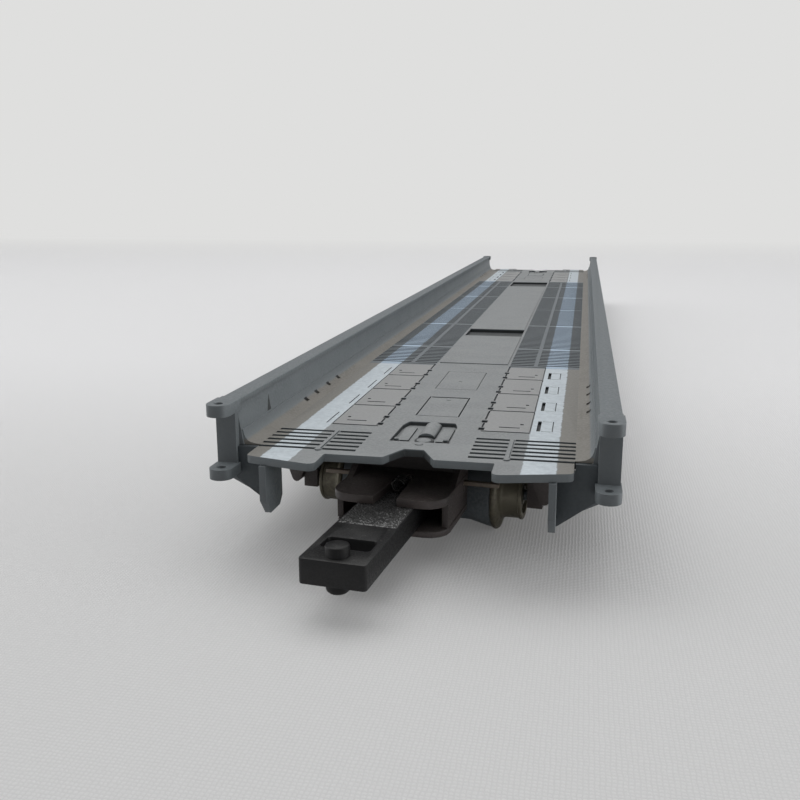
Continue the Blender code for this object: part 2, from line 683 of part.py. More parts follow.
def build_tray():
    """Build the tray under the deck's middle, open at its top."""
    tray = box(
        "ballast_tray",
        (-TRAY_HALF_WIDTH, -TRAY_HALF_LENGTH, TRAY_Z),
        (TRAY_HALF_WIDTH, TRAY_HALF_LENGTH, TRAY_TOP_Z),
        collection=WAGON,
    )
    shape = bmesh.new()
    shape.from_mesh(tray.data)
    lid = max(shape.faces, key=lambda face: face.calc_center_median().z)
    bmesh.ops.delete(shape, geom=[lid], context="FACES_ONLY")
    shape.to_mesh(tray.data)
    shape.free()
    skin = tray.modifiers.new("wall", "SOLIDIFY")
    skin.thickness = TRAY_WALL
    skin.offset = -1.0
    skin.use_even_offset = True
    holes = []
    for index, (x, y) in enumerate(tray_screw_places()):
        radius = TRAY_SCREW_RADIUS + PART_GAP
        holes.append(cylinder(f"tray_hole_{index}", (x, y, TRAY_Z), radius, 4 * TRAY_WALL))
    combine(tray, holes, "DIFFERENCE")
    dress(tray, FRAME_BROWN, 0.7)


def build_ballast():
    """Build the steel plate that gives the wagon its weight."""
    gap = TRAY_WALL + BALLAST_CLEARANCE
    low = (gap - TRAY_HALF_WIDTH, gap - TRAY_HALF_LENGTH, TRAY_Z + TRAY_WALL + PART_GAP)
    high = (TRAY_HALF_WIDTH - gap, TRAY_HALF_LENGTH - gap, TRAY_TOP_Z - PART_GAP)
    ballast = box("ballast_plate", low, high, collection=WAGON)
    holes = []
    for index, (x, y) in enumerate(tray_screw_places()):
        radius = TRAY_BOSS_RADIUS + BALLAST_CLEARANCE
        holes.append(cylinder(f"ballast_hole_{index}", (x, y, TRAY_TOP_Z), radius, 4 * TRAY_DEPTH))
    combine(ballast, holes, "DIFFERENCE")
    dress(ballast, BALLAST_STEEL, 0.5, 1.0)


def build_tray_screws():
    """Build the four tray screws."""
    head_top = TRAY_Z - PART_GAP
    head_low = head_top - TRAY_SCREW_HEAD
    top = DECK_BOTTOM_Z - 2 * PART_GAP
    profile = [
        (0.0, top),
        (TRAY_SCREW_RADIUS, top),
        (TRAY_SCREW_RADIUS, head_top),
        (TRAY_SCREW_HEAD_RADIUS, head_top),
        (TRAY_SCREW_HEAD_RADIUS, head_low),
        (0.0, head_low),
    ]
    for index, (x, y) in enumerate(tray_screw_places()):
        screw = turned(f"tray_screw_{index + 1}", profile, (x, y, 0), steps=12, collection=WAGON)
        dress(smooth(screw), STEEL, 0.35, 1.0)


# Bogies: a bogie is built in its own frame, with its pivot at the origin and its coupler at -Y


def guard_boxes(name, parent):
    """Return the axle guards of one bogie and the bearing holes in them."""
    guards = []
    bearings = []
    for index in range(AXLES_PER_BOGIE):
        y = axle_offset(index)
        for side_name, side in SIDES.items():
            tag = f"{name}_{side_name}_{index + 1}"
            low_x, high_x = sorted((side * GUARD_INNER_X, side * GUARD_OUTER_X))
            low = (low_x, y - GUARD_HALF_LENGTH, GUARD_BOTTOM_Z)
            high = (high_x, y + GUARD_HALF_LENGTH, BOGIE_PLATE_Z + BOGIE_PLATE_THICKNESS / 4)
            guards.append(box(f"{tag}_guard", low, high, parent))
            reach = AXLE_END_X + RUNNING_GAP
            depth = 2 * (reach - GUARD_INNER_X)
            centre = (side * (reach - depth / 2), y, AXLE_Z)
            bearings.append(cylinder(f"{tag}_bearing", centre, BEARING_RADIUS, depth, "X", parent, 12))
    return guards, bearings


def axle_offset(index):
    """Return an axle's Y in its bogie's frame, axle 0 nearest the coupler."""
    return index * AXLE_PITCH - END_AXLE_REACH


def side_beams(name, parent):
    """Return the two side beams, which end in a point below."""
    beams = []
    top = BOGIE_PLATE_Z + BOGIE_PLATE_THICKNESS / 5
    shoulder = (SIDE_BEAM_TIP_Z + top) / 2
    for side_name, side in SIDES.items():
        corners = [
            (SIDE_BEAM_INNER_X, top),
            (SIDE_BEAM_INNER_X, shoulder),
            (SIDE_BEAM_TIP_X, SIDE_BEAM_TIP_Z),
            (SIDE_BEAM_OUTER_X, shoulder + SIDE_BEAM_SHOULDER_STEP),
            (SIDE_BEAM_OUTER_X, top),
        ]
        radii = [0, 0, SIDE_BEAM_TIP_RADIUS, 0, 0]
        outline = rounded([(side * x, z) for x, z in corners], radii)
        beam = plate(
            f"{name}_{side_name}_beam",
            [outline],
            -SIDE_BEAM_REACH,
            SIDE_BEAM_REACH,
            plane="XZ",
            parent=parent,
        )
        beams.append(beam)
    return beams


def pocket_roof_outline():
    """Return the outline of the pocket's roof, round at its front corners and slotted."""
    back = -POCKET_BACK_REACH
    front = -POCKET_MOUTH_REACH
    slot_end = front + POCKET_SLOT_LENGTH
    corners = [
        (-POCKET_HALF_WIDTH, back),
        (-POCKET_HALF_WIDTH, front),
        (-POCKET_SLOT_MOUTH / 2, front),
        (-POCKET_SLOT_END / 2, slot_end),
        (POCKET_SLOT_END / 2, slot_end),
        (POCKET_SLOT_MOUTH / 2, front),
        (POCKET_HALF_WIDTH, front),
        (POCKET_HALF_WIDTH, back),
    ]
    radii = [0, POCKET_CORNER_RADIUS, 0, 0, 0, 0, POCKET_CORNER_RADIUS, 0]
    return rounded(corners, radii)


def keeper_outline():
    """Return the outline of the pocket's lower plate."""
    back = -POCKET_BACK_REACH
    front = -POCKET_MOUTH_REACH + POCKET_WALL
    corners = rectangle(-POCKET_HALF_WIDTH, front, POCKET_HALF_WIDTH, back)
    return rounded(corners, [POCKET_CORNER_RADIUS, POCKET_CORNER_RADIUS, 0, 0])


def pocket_walls(name, parent):
    """Return the pocket's side walls with their gussets, its back wall and its shelves."""
    pieces = []
    roof = POCKET_ROOF_Z + POCKET_ROOF_THICKNESS / 2
    wall_low = KEEPER_TOP_Z + PART_GAP
    back = -POCKET_BACK_REACH
    mouth = -POCKET_MOUTH_REACH + POCKET_CORNER_RADIUS
    plate_top = BOGIE_PLATE_Z + BOGIE_PLATE_THICKNESS * 0.6
    for side_name, side in SIDES.items():
        wall_inner = POCKET_HALF_WIDTH - POCKET_WALL
        wall_outer = POCKET_HALF_WIDTH - PART_GAP
        low_x, high_x = sorted((side * wall_inner, side * wall_outer))
        outline = [
            (back + POCKET_WALL / 2, wall_low),
            (mouth, wall_low),
            (mouth, roof),
            (mouth + 3 * POCKET_WALL, roof),
            (back - POCKET_WALL * 2, plate_top),
            (back + POCKET_WALL / 2, plate_top),
        ]
        tag = f"{name}_{side_name}"
        wall = plate(f"{tag}_pocket_wall", [outline], low_x, high_x, plane="YZ", parent=parent)
        pieces.append(wall)
        shelf_root = POCKET_HALF_WIDTH - POCKET_WALL / 2
        shelf_low_x, shelf_high_x = sorted((side * shelf_root, side * SHELF_END_X))
        shelf_low = (shelf_low_x, -SHELF_REACH - POCKET_WALL, POCKET_ROOF_Z - POCKET_WALL)
        shelf_high = (shelf_high_x, -SHELF_REACH, POCKET_ROOF_Z)
        pieces.append(box(f"{tag}_shelf", shelf_low, shelf_high, parent))
    half = POCKET_HALF_WIDTH - POCKET_WALL / 3
    low = (-half, back - POCKET_WALL / 2, wall_low)
    high = (half, back + POCKET_WALL, BOGIE_PLATE_Z + BOGIE_PLATE_THICKNESS * 0.4)
    pieces.append(box(f"{name}_pocket_back", low, high, parent))
    neck_low = (-half, back, BOGIE_PLATE_Z + PART_GAP)
    neck_high = (half, -BOGIE_PLATE_REACH + POCKET_WALL, BOGIE_PLATE_TOP_Z - PART_GAP)
    pieces.append(box(f"{name}_neck", neck_low, neck_high, parent))
    return pieces


def build_bogie_frame(end_name, swivel):
    """Build the one-piece bogie frame with its guards, side beams and coupler pocket."""
    name = f"{end_name}_bogie_frame"
    low = (-BOGIE_PLATE_HALF_WIDTH, -BOGIE_PLATE_REACH, BOGIE_PLATE_Z)
    high = (BOGIE_PLATE_HALF_WIDTH, BOGIE_PLATE_REACH, BOGIE_PLATE_TOP_Z)
    frame = box(name, low, high, swivel, WAGON)
    guards, bearings = guard_boxes(name, swivel)
    roof = plate(
        f"{name}_pocket_roof",
        [pocket_roof_outline()],
        POCKET_ROOF_Z,
        POCKET_ROOF_TOP_Z,
        parent=swivel,
    )
    additions = side_beams(name, swivel) + guards + pocket_walls(name, swivel) + [roof]
    combine(frame, additions, "UNION")
    pivot_hole = cylinder(
        f"{name}_pivot",
        (0, 0, BOGIE_PLATE_Z),
        PIVOT_SCREW_RADIUS + RUNNING_GAP,
        4 * BOGIE_PLATE_THICKNESS,
        "Z",
        swivel,
    )
    pin_hole = cylinder(
        f"{name}_pin_hole",
        (0, -DRAWBAR_PIVOT_REACH, POCKET_ROOF_Z),
        PIVOT_PIN_RADIUS + PART_GAP,
        4 * POCKET_ROOF_THICKNESS,
        "Z",
        swivel,
    )
    combine(frame, bearings + [pivot_hole, pin_hole], "DIFFERENCE")
    dress(frame, FRAME_BROWN, 0.65)


def build_keeper(end_name, swivel):
    """Build the pocket's lower plate, which the pivot pin holds up."""
    keeper = plate(
        f"{end_name}_pocket_keeper",
        [keeper_outline()],
        KEEPER_Z,
        KEEPER_TOP_Z,
        parent=swivel,
        collection=WAGON,
    )
    pin_hole = cylinder(
        f"{end_name}_keeper_pin_hole",
        (0, -DRAWBAR_PIVOT_REACH, KEEPER_Z),
        PIVOT_PIN_RADIUS + PART_GAP,
        4 * KEEPER_THICKNESS,
        "Z",
        swivel,
    )
    combine(keeper, [pin_hole], "DIFFERENCE")
    dress(keeper, FRAME_BROWN, 0.65)


def build_pivot_pin(end_name, swivel):
    """Build the headed pin that the drawbar swings on."""
    head_top = KEEPER_Z - PART_GAP
    head_low = head_top - PIVOT_PIN_HEAD
    top = POCKET_ROOF_TOP_Z - PART_GAP
    profile = [
        (0.0, top),
        (PIVOT_PIN_RADIUS, top),
        (PIVOT_PIN_RADIUS, head_top),
        (PIVOT_PIN_HEAD_RADIUS, head_top),
        (PIVOT_PIN_HEAD_RADIUS, head_low),
        (0.0, head_low),
    ]
    name = f"{end_name}_drawbar_pivot_pin"
    pin = turned(name, profile, (0, -DRAWBAR_PIVOT_REACH, 0), swivel, steps=20, collection=WAGON)
    dress(smooth(pin), STEEL, 0.35, 1.0)


def spring_points():
    """Return the points of the return spring's wire, a coil lying along Y in the slot."""
    steps = 8
    start = -POCKET_MOUTH_REACH + POCKET_SLOT_LENGTH - 2 * SPRING_WIRE_RADIUS
    length = SPRING_TURNS * 4 * SPRING_WIRE_RADIUS
    centre_z = DRAWBAR_TOP_Z + SPRING_RADIUS + SPRING_WIRE_RADIUS + 2 * PART_GAP
    points = []
    for step in range(SPRING_TURNS * steps + 1):
        angle = 2 * math.pi * step / steps
        y = start - length * step / (SPRING_TURNS * steps)
        points.append((SPRING_RADIUS * math.cos(angle), y, centre_z + SPRING_RADIUS * math.sin(angle)))
    return points


def build_spring(end_name, swivel):
    """Build the return spring as one closed wire."""
    name = f"{end_name}_return_spring"
    curve = bpy.data.curves.new(name, "CURVE")
    curve.dimensions = "3D"
    curve.bevel_depth = SPRING_WIRE_RADIUS
    curve.bevel_resolution = 1
    curve.use_fill_caps = True
    spline = curve.splines.new("POLY")
    points = spring_points()
    spline.points.add(len(points) - 1)
    for point, place_of_point in zip(spline.points, points):
        point.co = (*place_of_point, 1.0)
    spring = place(bpy.data.objects.new(name, curve), WAGON, swivel)
    dress(spring, STEEL, 0.3, 1.0)


def wheel_profile():
    """Return the closed section of a wheel as (radius, distance from its back) points."""
    bore = AXLE_RADIUS + PART_GAP
    flange = FLANGE_RADIUS
    tread = TREAD_RADIUS
    width = WHEEL_WIDTH
    rim = tread - WHEEL_RIM
    return [
        (bore, width - WHEEL_DISH),
        (rim, width - WHEEL_DISH),
        (rim, width),
        (tread, width),
        (tread, FLANGE_THICKNESS * 1.2),
        (flange - FLANGE_HEIGHT / 6, FLANGE_THICKNESS * 0.75),
        (flange, FLANGE_THICKNESS * 0.4),
        (flange - FLANGE_HEIGHT / 6, 0.0),
        (bore, 0.0),
    ]


def axle_profile():
    """Return the section of an axle with its sleeve and pointed ends, from +X to -X."""
    sleeve_end = WHEEL_INNER_X - PART_GAP
    half = [
        (0.0, AXLE_END_X),
        (AXLE_RADIUS / 3, AXLE_END_X),
        (AXLE_RADIUS, AXLE_END_X - AXLE_POINT_LENGTH),
        (AXLE_RADIUS, sleeve_end),
        (AXLE_SLEEVE_RADIUS, sleeve_end),
    ]
    return half + [(radius, -x) for radius, x in reversed(half)]


def build_wheelset(end_name, index, swivel):
    """Build one axle and its two wheels about an empty on the axle's line."""
    tag = f"{end_name}_axle_{index + 1}"
    hub = bpy.data.objects.new(f"{tag}_line", None)
    place(hub, WAGON, swivel)
    hub.location = (0.0, axle_offset(index), AXLE_Z)
    half_step = math.pi / WHEEL_STEPS
    axle = turned(tag, axle_profile(), (0, 0, 0), hub, AXLE_STEPS, collection=WAGON)
    axle.rotation_euler = (0.0, math.pi / 2, 0.0)
    dress(smooth(axle), FRAME_BROWN, 0.4, 0.6)
    for side_name, side in SIDES.items():
        name = f"{tag}_wheel_{side_name}"
        back = (side * WHEEL_INNER_X, 0, 0)
        wheel = turned(name, wheel_profile(), back, hub, WHEEL_STEPS, True, WAGON)
        wheel.rotation_euler = (0.0, side * math.pi / 2, 0.0)
        wheel.data.transform(Matrix.Rotation(half_step, 4, "Z"))
        dress(smooth(wheel), WHEEL_STEEL, 0.4, 0.9)


def drawbar_outline():
    """Return the drawbar's outline as seen from above."""
    head = -DRAWBAR_HEAD_REACH
    tail = -DRAWBAR_PIVOT_REACH + PIVOT_PIN_HEAD_RADIUS
    corners = rectangle(-DRAWBAR_HALF_WIDTH, head, DRAWBAR_HALF_WIDTH, tail)
    front = DRAWBAR_CORNER_RADIUS
    tail_radius = PIVOT_PIN_HEAD_RADIUS
    return rounded(corners, [front, front, tail_radius, tail_radius])


def build_drawbar(end_name, swivel):
    """Build the drawbar with its eye, and the coupling pin in its head."""
    hinge = bpy.data.objects.new(f"{end_name}_drawbar_line", None)
    place(hinge, WAGON, swivel)
    hinge.location = (0.0, -DRAWBAR_PIVOT_REACH, 0.0)
    shift = DRAWBAR_PIVOT_REACH
    eye_front = -DRAWBAR_HEAD_REACH + HEAD_BAR
    eye_corners = rectangle(-EYE_HALF_WIDTH, eye_front, EYE_HALF_WIDTH, eye_front + EYE_LENGTH)
    eye = rounded(eye_corners, [DRAWBAR_CORNER_RADIUS] * 4, 2)
    pin_y = -DRAWBAR_HEAD_REACH + HEAD_BAR / 2
    pin_hole = circle(0, pin_y, COUPLING_PIN_RADIUS + PART_GAP, 20)
    pivot_hole = circle(0, -DRAWBAR_PIVOT_REACH, PIVOT_PIN_RADIUS + RUNNING_GAP, 20)
    outlines = [drawbar_outline(), eye, pin_hole, pivot_hole]
    outlines = [[(x, y + shift) for x, y in outline] for outline in outlines]
    name = f"{end_name}_drawbar"
    bar = plate(name, outlines, DRAWBAR_Z, DRAWBAR_TOP_Z, parent=hinge, collection=WAGON)
    dress(bar, DRAWBAR_BLACK, 0.6)
    top = DRAWBAR_TOP_Z + COUPLING_PIN_PROUD
    bottom = DRAWBAR_Z - COUPLING_PIN_PROUD
    bevel = COUPLING_PIN_RADIUS / 3
    profile = [
        (0.0, top),
        (COUPLING_PIN_RADIUS - bevel / 2, top),
        (COUPLING_PIN_RADIUS, top - bevel / 2),
        (COUPLING_PIN_RADIUS, bottom + bevel),
        (COUPLING_PIN_RADIUS - bevel * 0.3, bottom + bevel * 0.4),
        (COUPLING_PIN_RADIUS - bevel, bottom),
        (0.0, bottom),
    ]
    name = f"{end_name}_coupling_pin"
    pin = turned(name, profile, (0, pin_y + shift, 0), hinge, steps=20, collection=WAGON)
    dress(smooth(pin), DRAWBAR_BLACK, 0.5)


def build_bogie(end_name):
    """Build one bogie, turned about its pivot."""
    end = ENDS[end_name]
    swivel = bpy.data.objects.new(f"{end_name}_bogie_line", None)
    place(swivel, WAGON)
    swivel.location = (0.0, end * BOGIE_PIVOT_Y, 0.0)
    swivel.rotation_euler = (0.0, 0.0, BOGIE_YAW + (math.pi if end > 0 else 0.0))
    build_bogie_frame(end_name, swivel)
    build_keeper(end_name, swivel)
    build_pivot_pin(end_name, swivel)
    build_spring(end_name, swivel)
    for index in range(AXLES_PER_BOGIE):
        build_wheelset(end_name, index, swivel)
    build_drawbar(end_name, swivel)


def build_wagon():
    """Build the whole wagon."""
    build_deck()
    for side_name in SIDES:
        build_girder(side_name)
    build_tray()
    build_ballast()
    build_tray_screws()
    for end_name in ENDS:
        build_bolster(end_name)
        build_pivot_screw(end_name)
        build_bogie(end_name)
    bpy.context.view_layer.update()


build_wagon()
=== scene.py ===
"""Looks of a low-floor lorry-carrying railway wagon in HO scale, standing on a pale cloth.

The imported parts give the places. Sizes in the classes are millimetres, and each mesh is turned
into metres when its piece is placed. A size called an inset is measured inwards from one end of
the deck, and a reach is measured from a bogie's pivot towards the nearer end of the wagon.
"""

import logging
import math
from dataclasses import dataclass, field
from enum import Enum

import bmesh
import bpy
from mathutils import Matrix, Vector, noise


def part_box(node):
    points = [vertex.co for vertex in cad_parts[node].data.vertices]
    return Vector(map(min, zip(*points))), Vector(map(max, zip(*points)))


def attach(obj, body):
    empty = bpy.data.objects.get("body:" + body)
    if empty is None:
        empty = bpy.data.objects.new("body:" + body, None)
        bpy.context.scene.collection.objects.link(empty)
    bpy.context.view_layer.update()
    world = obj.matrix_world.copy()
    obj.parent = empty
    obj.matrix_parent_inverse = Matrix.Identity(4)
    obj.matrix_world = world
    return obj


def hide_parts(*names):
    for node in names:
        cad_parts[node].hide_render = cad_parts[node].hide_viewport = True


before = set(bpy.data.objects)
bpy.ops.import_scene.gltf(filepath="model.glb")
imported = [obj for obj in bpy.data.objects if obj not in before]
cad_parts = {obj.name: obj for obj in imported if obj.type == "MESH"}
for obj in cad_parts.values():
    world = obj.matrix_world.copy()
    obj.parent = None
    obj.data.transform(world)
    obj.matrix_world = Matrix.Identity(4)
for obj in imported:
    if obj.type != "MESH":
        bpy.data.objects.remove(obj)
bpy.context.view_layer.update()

MM = 0.001
MERGE_DISTANCE = 0.001
LOG = logging.getLogger("lorry_wagon")

Point = tuple[float, float]
Corner = tuple[float, float, float]
Outline = list[Point]
BoxCorners = tuple[Corner, Corner]


class End(Enum):
    """The two ends of the wagon, each with the sign of its Y."""

    FRONT = -1
    REAR = 1

    @property
    def word(self) -> str:
        """The end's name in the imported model."""
        return self.name.lower()


class Side(Enum):
    """The two sides of the wagon, each with the sign of its X."""

    LEFT = -1
    RIGHT = 1

    @property
    def word(self) -> str:
        """The side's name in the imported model."""
        return self.name.lower()


class Plane(Enum):
    """The plane that a plate's outline is drawn in."""

    FLAT = "XY"
    CROSSWISE = "XZ"


# Mesh work


def new_object(name: str, mesh: bpy.types.Mesh) -> bpy.types.Object:
    """Link a mesh to the scene as a new object.

    Args:
        name: the piece's name.
        mesh: its mesh.

    Returns:
        The new object.
    """
    mesh.name = name
    thing = bpy.data.objects.new(name, mesh)
    bpy.context.scene.collection.objects.link(thing)
    return thing


def shape_object(name: str, shape: bmesh.types.BMesh) -> bpy.types.Object:
    """Turn a finished shape into a new object, and free the shape.

    Args:
        name: the piece's name.
        shape: its shape.

    Returns:
        The new object.
    """
    mesh = bpy.data.meshes.new(name)
    shape.to_mesh(mesh)
    shape.free()
    return new_object(name, mesh)


def merged_object(name: str, mesh: bpy.types.Mesh) -> bpy.types.Object:
    """Merge a mesh's split corners, turn its faces outwards and link it to the scene.

    Args:
        name: the piece's name.
        mesh: its mesh, in millimetres.

    Returns:
        The new object.
    """
    shape = bmesh.new()
    shape.from_mesh(mesh)
    bmesh.ops.remove_doubles(shape, verts=shape.verts, dist=MERGE_DISTANCE)
    bmesh.ops.recalc_face_normals(shape, faces=shape.faces)
    shape.to_mesh(mesh)
    shape.free()
    return new_object(name, mesh)


def evaluated_mesh(thing: bpy.types.Object) -> bpy.types.Mesh:
    """Return an object's mesh with its modifiers or its curve settings applied.

    Args:
        thing: the object.

    Returns:
        A new mesh.
    """
    bpy.context.view_layer.update()
    evaluated = thing.evaluated_get(bpy.context.evaluated_depsgraph_get())
    return bpy.data.meshes.new_from_object(evaluated)


def drawn_mesh(name: str, curve: bpy.types.Curve) -> bpy.types.Mesh:
    """Turn a curve into a mesh.

    Args:
        name: the name of the piece that the curve draws.
        curve: the curve.

    Returns:
        The curve's mesh.
    """
    drawn = bpy.data.objects.new(name + "_drawn", curve)
    bpy.context.scene.collection.objects.link(drawn)
    mesh = evaluated_mesh(drawn)
    bpy.data.objects.remove(drawn)
    return mesh


def ordered(first: Corner, second: Corner) -> BoxCorners:
    """Return the low and the high corner of the box between two of its corners.

    Args:
        first: one corner.
        second: the corner across from it.

    Returns:
        The two corners.
    """
    low, high = zip(*(sorted(pair) for pair in zip(first, second)))
    return low, high


def signed_area(outline: Outline) -> float:
    """Return an outline's area, positive when it runs counter-clockwise.

    Args:
        outline: the outline's corners.

    Returns:
        The area.
    """
    total = 0.0
    for (x0, y0), (x1, y1) in zip(outline, outline[1:] + outline[:1]):
        total += x0 * y1 - x1 * y0
    return total / 2


def plate(
    name: str,
    outlines: list[Outline],
    low: float,
    high: float,
    plane: Plane = Plane.FLAT,
    edge: float = 0.05,
) -> bpy.types.Object:
    """Make a plate with softly rounded edges.

    Args:
        name: the piece's name.
        outlines: the plate's edge, and then its holes.
        low: where its first face lies across the plane.
        high: where its second face lies.
        plane: the plane that the outlines lie in.
        edge: the radius of its edges.

    Returns:
        The plate, in millimetres.
    """
    curve = bpy.data.curves.new(name, "CURVE")
    curve.dimensions = "2D"
    curve.fill_mode = "BOTH"
    curve.extrude = (high - low) / 2 - edge
    curve.bevel_depth = edge
    curve.bevel_resolution = 1
    curve.offset = -edge
    for number, outline in enumerate(outlines):
        turning = signed_area(outline)
        wanted = 1.0 if number == 0 else -1.0
        points = outline if turning * wanted > 0 else outline[::-1]
        spline = curve.splines.new("POLY")
        spline.points.add(len(points) - 1)
        for point, (across, along) in zip(spline.points, points):
            point.co = (across, along, 0.0, 1.0)
        spline.use_cyclic_u = True
    mesh = drawn_mesh(name, curve)
    middle = (low + high) / 2
    turns = {
        Plane.FLAT: Matrix.Translation((0, 0, middle)),
        Plane.CROSSWISE: Matrix.Translation((0, middle, 0)) @ Matrix.Rotation(math.pi / 2, 4, "X"),
    }
    mesh.transform(turns[plane])
    return merged_object(name, mesh)


def lathe(name: str, profile: list[Point], steps: int = 48) -> bpy.types.Object:
    """Turn a profile about Z into a closed piece.

    Args:
        name: the piece's name.
        profile: (radius, height) points from one end of the axis to the other.
        steps: how many sides the piece has.

    Returns:
        The turned piece, in millimetres.
    """
    shape = bmesh.new()
    rings = []
    for radius, height in profile:
        if radius < 1e-6:
            rings.append([shape.verts.new((0, 0, height))])
            continue
        ring = []
        for step in range(steps):
            angle = 2 * math.pi * step / steps
            ring.append(shape.verts.new((radius * math.cos(angle), radius * math.sin(angle), height)))
        rings.append(ring)
    for first, second in zip(rings, rings[1:]):
        for step in range(steps):
            after = (step + 1) % steps
            corners = [first[step % len(first)], first[after % len(first)]]
            corners += [second[after % len(second)], second[step % len(second)]]
            unique = list(dict.fromkeys(corners))
            if len(unique) > 2:
                shape.faces.new(unique)
    for ring in (rings[0], rings[-1]):
        if len(ring) > 1:
            shape.faces.new(ring)
    bmesh.ops.recalc_face_normals(shape, faces=shape.faces)
    return smooth(shape_object(name, shape))


def sweep(name: str, section: Outline, start: float, end: float) -> bpy.types.Object:
    """Draw a closed (x, z) section out along Y.

    Args:
        name: the piece's name.
        section: the section's corners.
        start: where the piece starts along Y.
        end: where it ends.

    Returns:
        The piece, in millimetres.
    """
    shape = bmesh.new()
    first, second = [[shape.verts.new((x, y, z)) for x, z in section] for y in (start, end)]
    for index in range(len(section)):
        after = (index + 1) % len(section)
        shape.faces.new((first[index], first[after], second[after], second[index]))
    shape.faces.new(first)
    shape.faces.new(second)
    bmesh.ops.recalc_face_normals(shape, faces=shape.faces)
    return shape_object(name, shape)


def tube(name: str, points: list[Corner], radius: float) -> bpy.types.Object:
    """Make a round wire along a line of points, in millimetres.

    Args:
        name: the piece's name.
        points: the line of points.
        radius: the wire's radius.

    Returns:
        The wire, in millimetres.
    """
    curve = bpy.data.curves.new(name, "CURVE")
    curve.dimensions = "3D"
    curve.bevel_depth = radius
    curve.bevel_resolution = 3
    curve.use_fill_caps = True
    spline = curve.splines.new("POLY")
    spline.points.add(len(points) - 1)
    for point, where in zip(spline.points, points):
        point.co = (*where, 1.0)
    mesh = drawn_mesh(name, curve)
    return smooth(new_object(name, mesh))


def blocks(name: str, corner_pairs: list[BoxCorners], edge: float = 0.0) -> bpy.types.Object:
    """Make one piece out of separate blocks.

    Args:
        name: the piece's name.
        corner_pairs: the low and high corner of each block.
        edge: how much is taken off their edges.

    Returns:
        The blocks as one object, in millimetres.
    """
    shape = bmesh.new()
    for low, high in corner_pairs:
        size = Vector(high) - Vector(low)
        cube = bmesh.ops.create_cube(shape, size=1.0)["verts"]
        bmesh.ops.scale(shape, vec=size, verts=cube)
        bmesh.ops.translate(shape, vec=Vector(low) + size / 2, verts=cube)
    if edge > 0:
        bmesh.ops.bevel(
            shape,
            geom=list(shape.edges),
            offset=edge,
            segments=2,
            profile=0.5,
            affect="EDGES",
        )
    return shape_object(name, shape)


def cut(target: bpy.types.Object, other: bpy.types.Object) -> None:
    """Cut a piece with another, and drop the other.

    Args:
        target: the piece that is cut.
        other: the piece that is taken away from it.
    """
    change = target.modifiers.new(other.name, "BOOLEAN")
    change.operation = "DIFFERENCE"
    change.solver = "EXACT"
    change.object = other
    mesh = evaluated_mesh(target)
    target.modifiers.clear()
    target.data = mesh
    bpy.data.objects.remove(other)


def soften(thing: bpy.types.Object, width: float, angle: float = 0.6) -> bpy.types.Object:
    """Round the sharp edges of a piece.

    Args:
        thing: the piece.
        width: the width of the rounding.
        angle: edges that turn by more than this many radians are rounded.

    Returns:
        The same piece.
    """
    shape = bmesh.new()
    shape.from_mesh(thing.data)
    bmesh.ops.remove_doubles(shape, verts=shape.verts, dist=0.002)
    bmesh.ops.dissolve_limit(shape, angle_limit=0.01, verts=shape.verts, edges=shape.edges)
    sharp = [e for e in shape.edges if len(e.link_faces) == 2 and e.calc_face_angle(0.0) > angle]
    bmesh.ops.bevel(
        shape,
        geom=sharp,
        offset=width,
        segments=2,
        profile=0.5,
        affect="EDGES",
        clamp_overlap=True,
    )
    bmesh.ops.triangulate(shape, faces=[f for f in shape.faces if len(f.verts) > 4])
    shape.to_mesh(thing.data)
    shape.free()
    return smooth(thing)


def cad_copy(node: str, name: str) -> bpy.types.Object:
    """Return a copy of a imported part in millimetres, to be worked on.

    Args:
        node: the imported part's name.
        name: the copy's name.

    Returns:
        The copy.
    """
    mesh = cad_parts[node].data.copy()
    mesh.materials.clear()
    mesh.transform(Matrix.Scale(1 / MM, 4))
    return merged_object(name, mesh)


def join(name: str, things: list[bpy.types.Object]) -> bpy.types.Object:
    """Join pieces that share a frame and a finish into one object.

    Args:
        name: the new piece's name.
        things: the pieces, which are dropped.

    Returns:
        The joined piece.
    """
    shape = bmesh.new()
    for thing in things:
        mesh = thing.data
        mesh.transform(thing.matrix_basis)
        shape.from_mesh(mesh)
        bpy.data.objects.remove(thing)
    return shape_object(name, shape)


def smooth(thing: bpy.types.Object, angle: float = 0.7) -> bpy.types.Object:
    """Shade a piece smooth up to an edge angle in radians.

    Args:
        thing: the piece.
        angle: edges that turn by more than this stay sharp.

    Returns:
        The same piece.
    """
    thing.data.shade_smooth()
    thing.data.set_sharp_from_angle(angle=angle)
    return thing


def moved(thing: bpy.types.Object, matrix: Matrix) -> bpy.types.Object:
    """Move a piece's mesh by a matrix in millimetres."""
    thing.data.transform(matrix)
    return thing


def circle(centre: Point, radius: float, steps: int = 24) -> Outline:
    """Return the outline of a circle.

    Args:
        centre: its middle.
        radius: its radius.
        steps: how many corners it has.

    Returns:
        The outline.
    """
    outline = []
    for step in range(steps):
        angle = 2 * math.pi * step / steps
        outline.append((centre[0] + radius * math.cos(angle), centre[1] + radius * math.sin(angle)))
    return outline


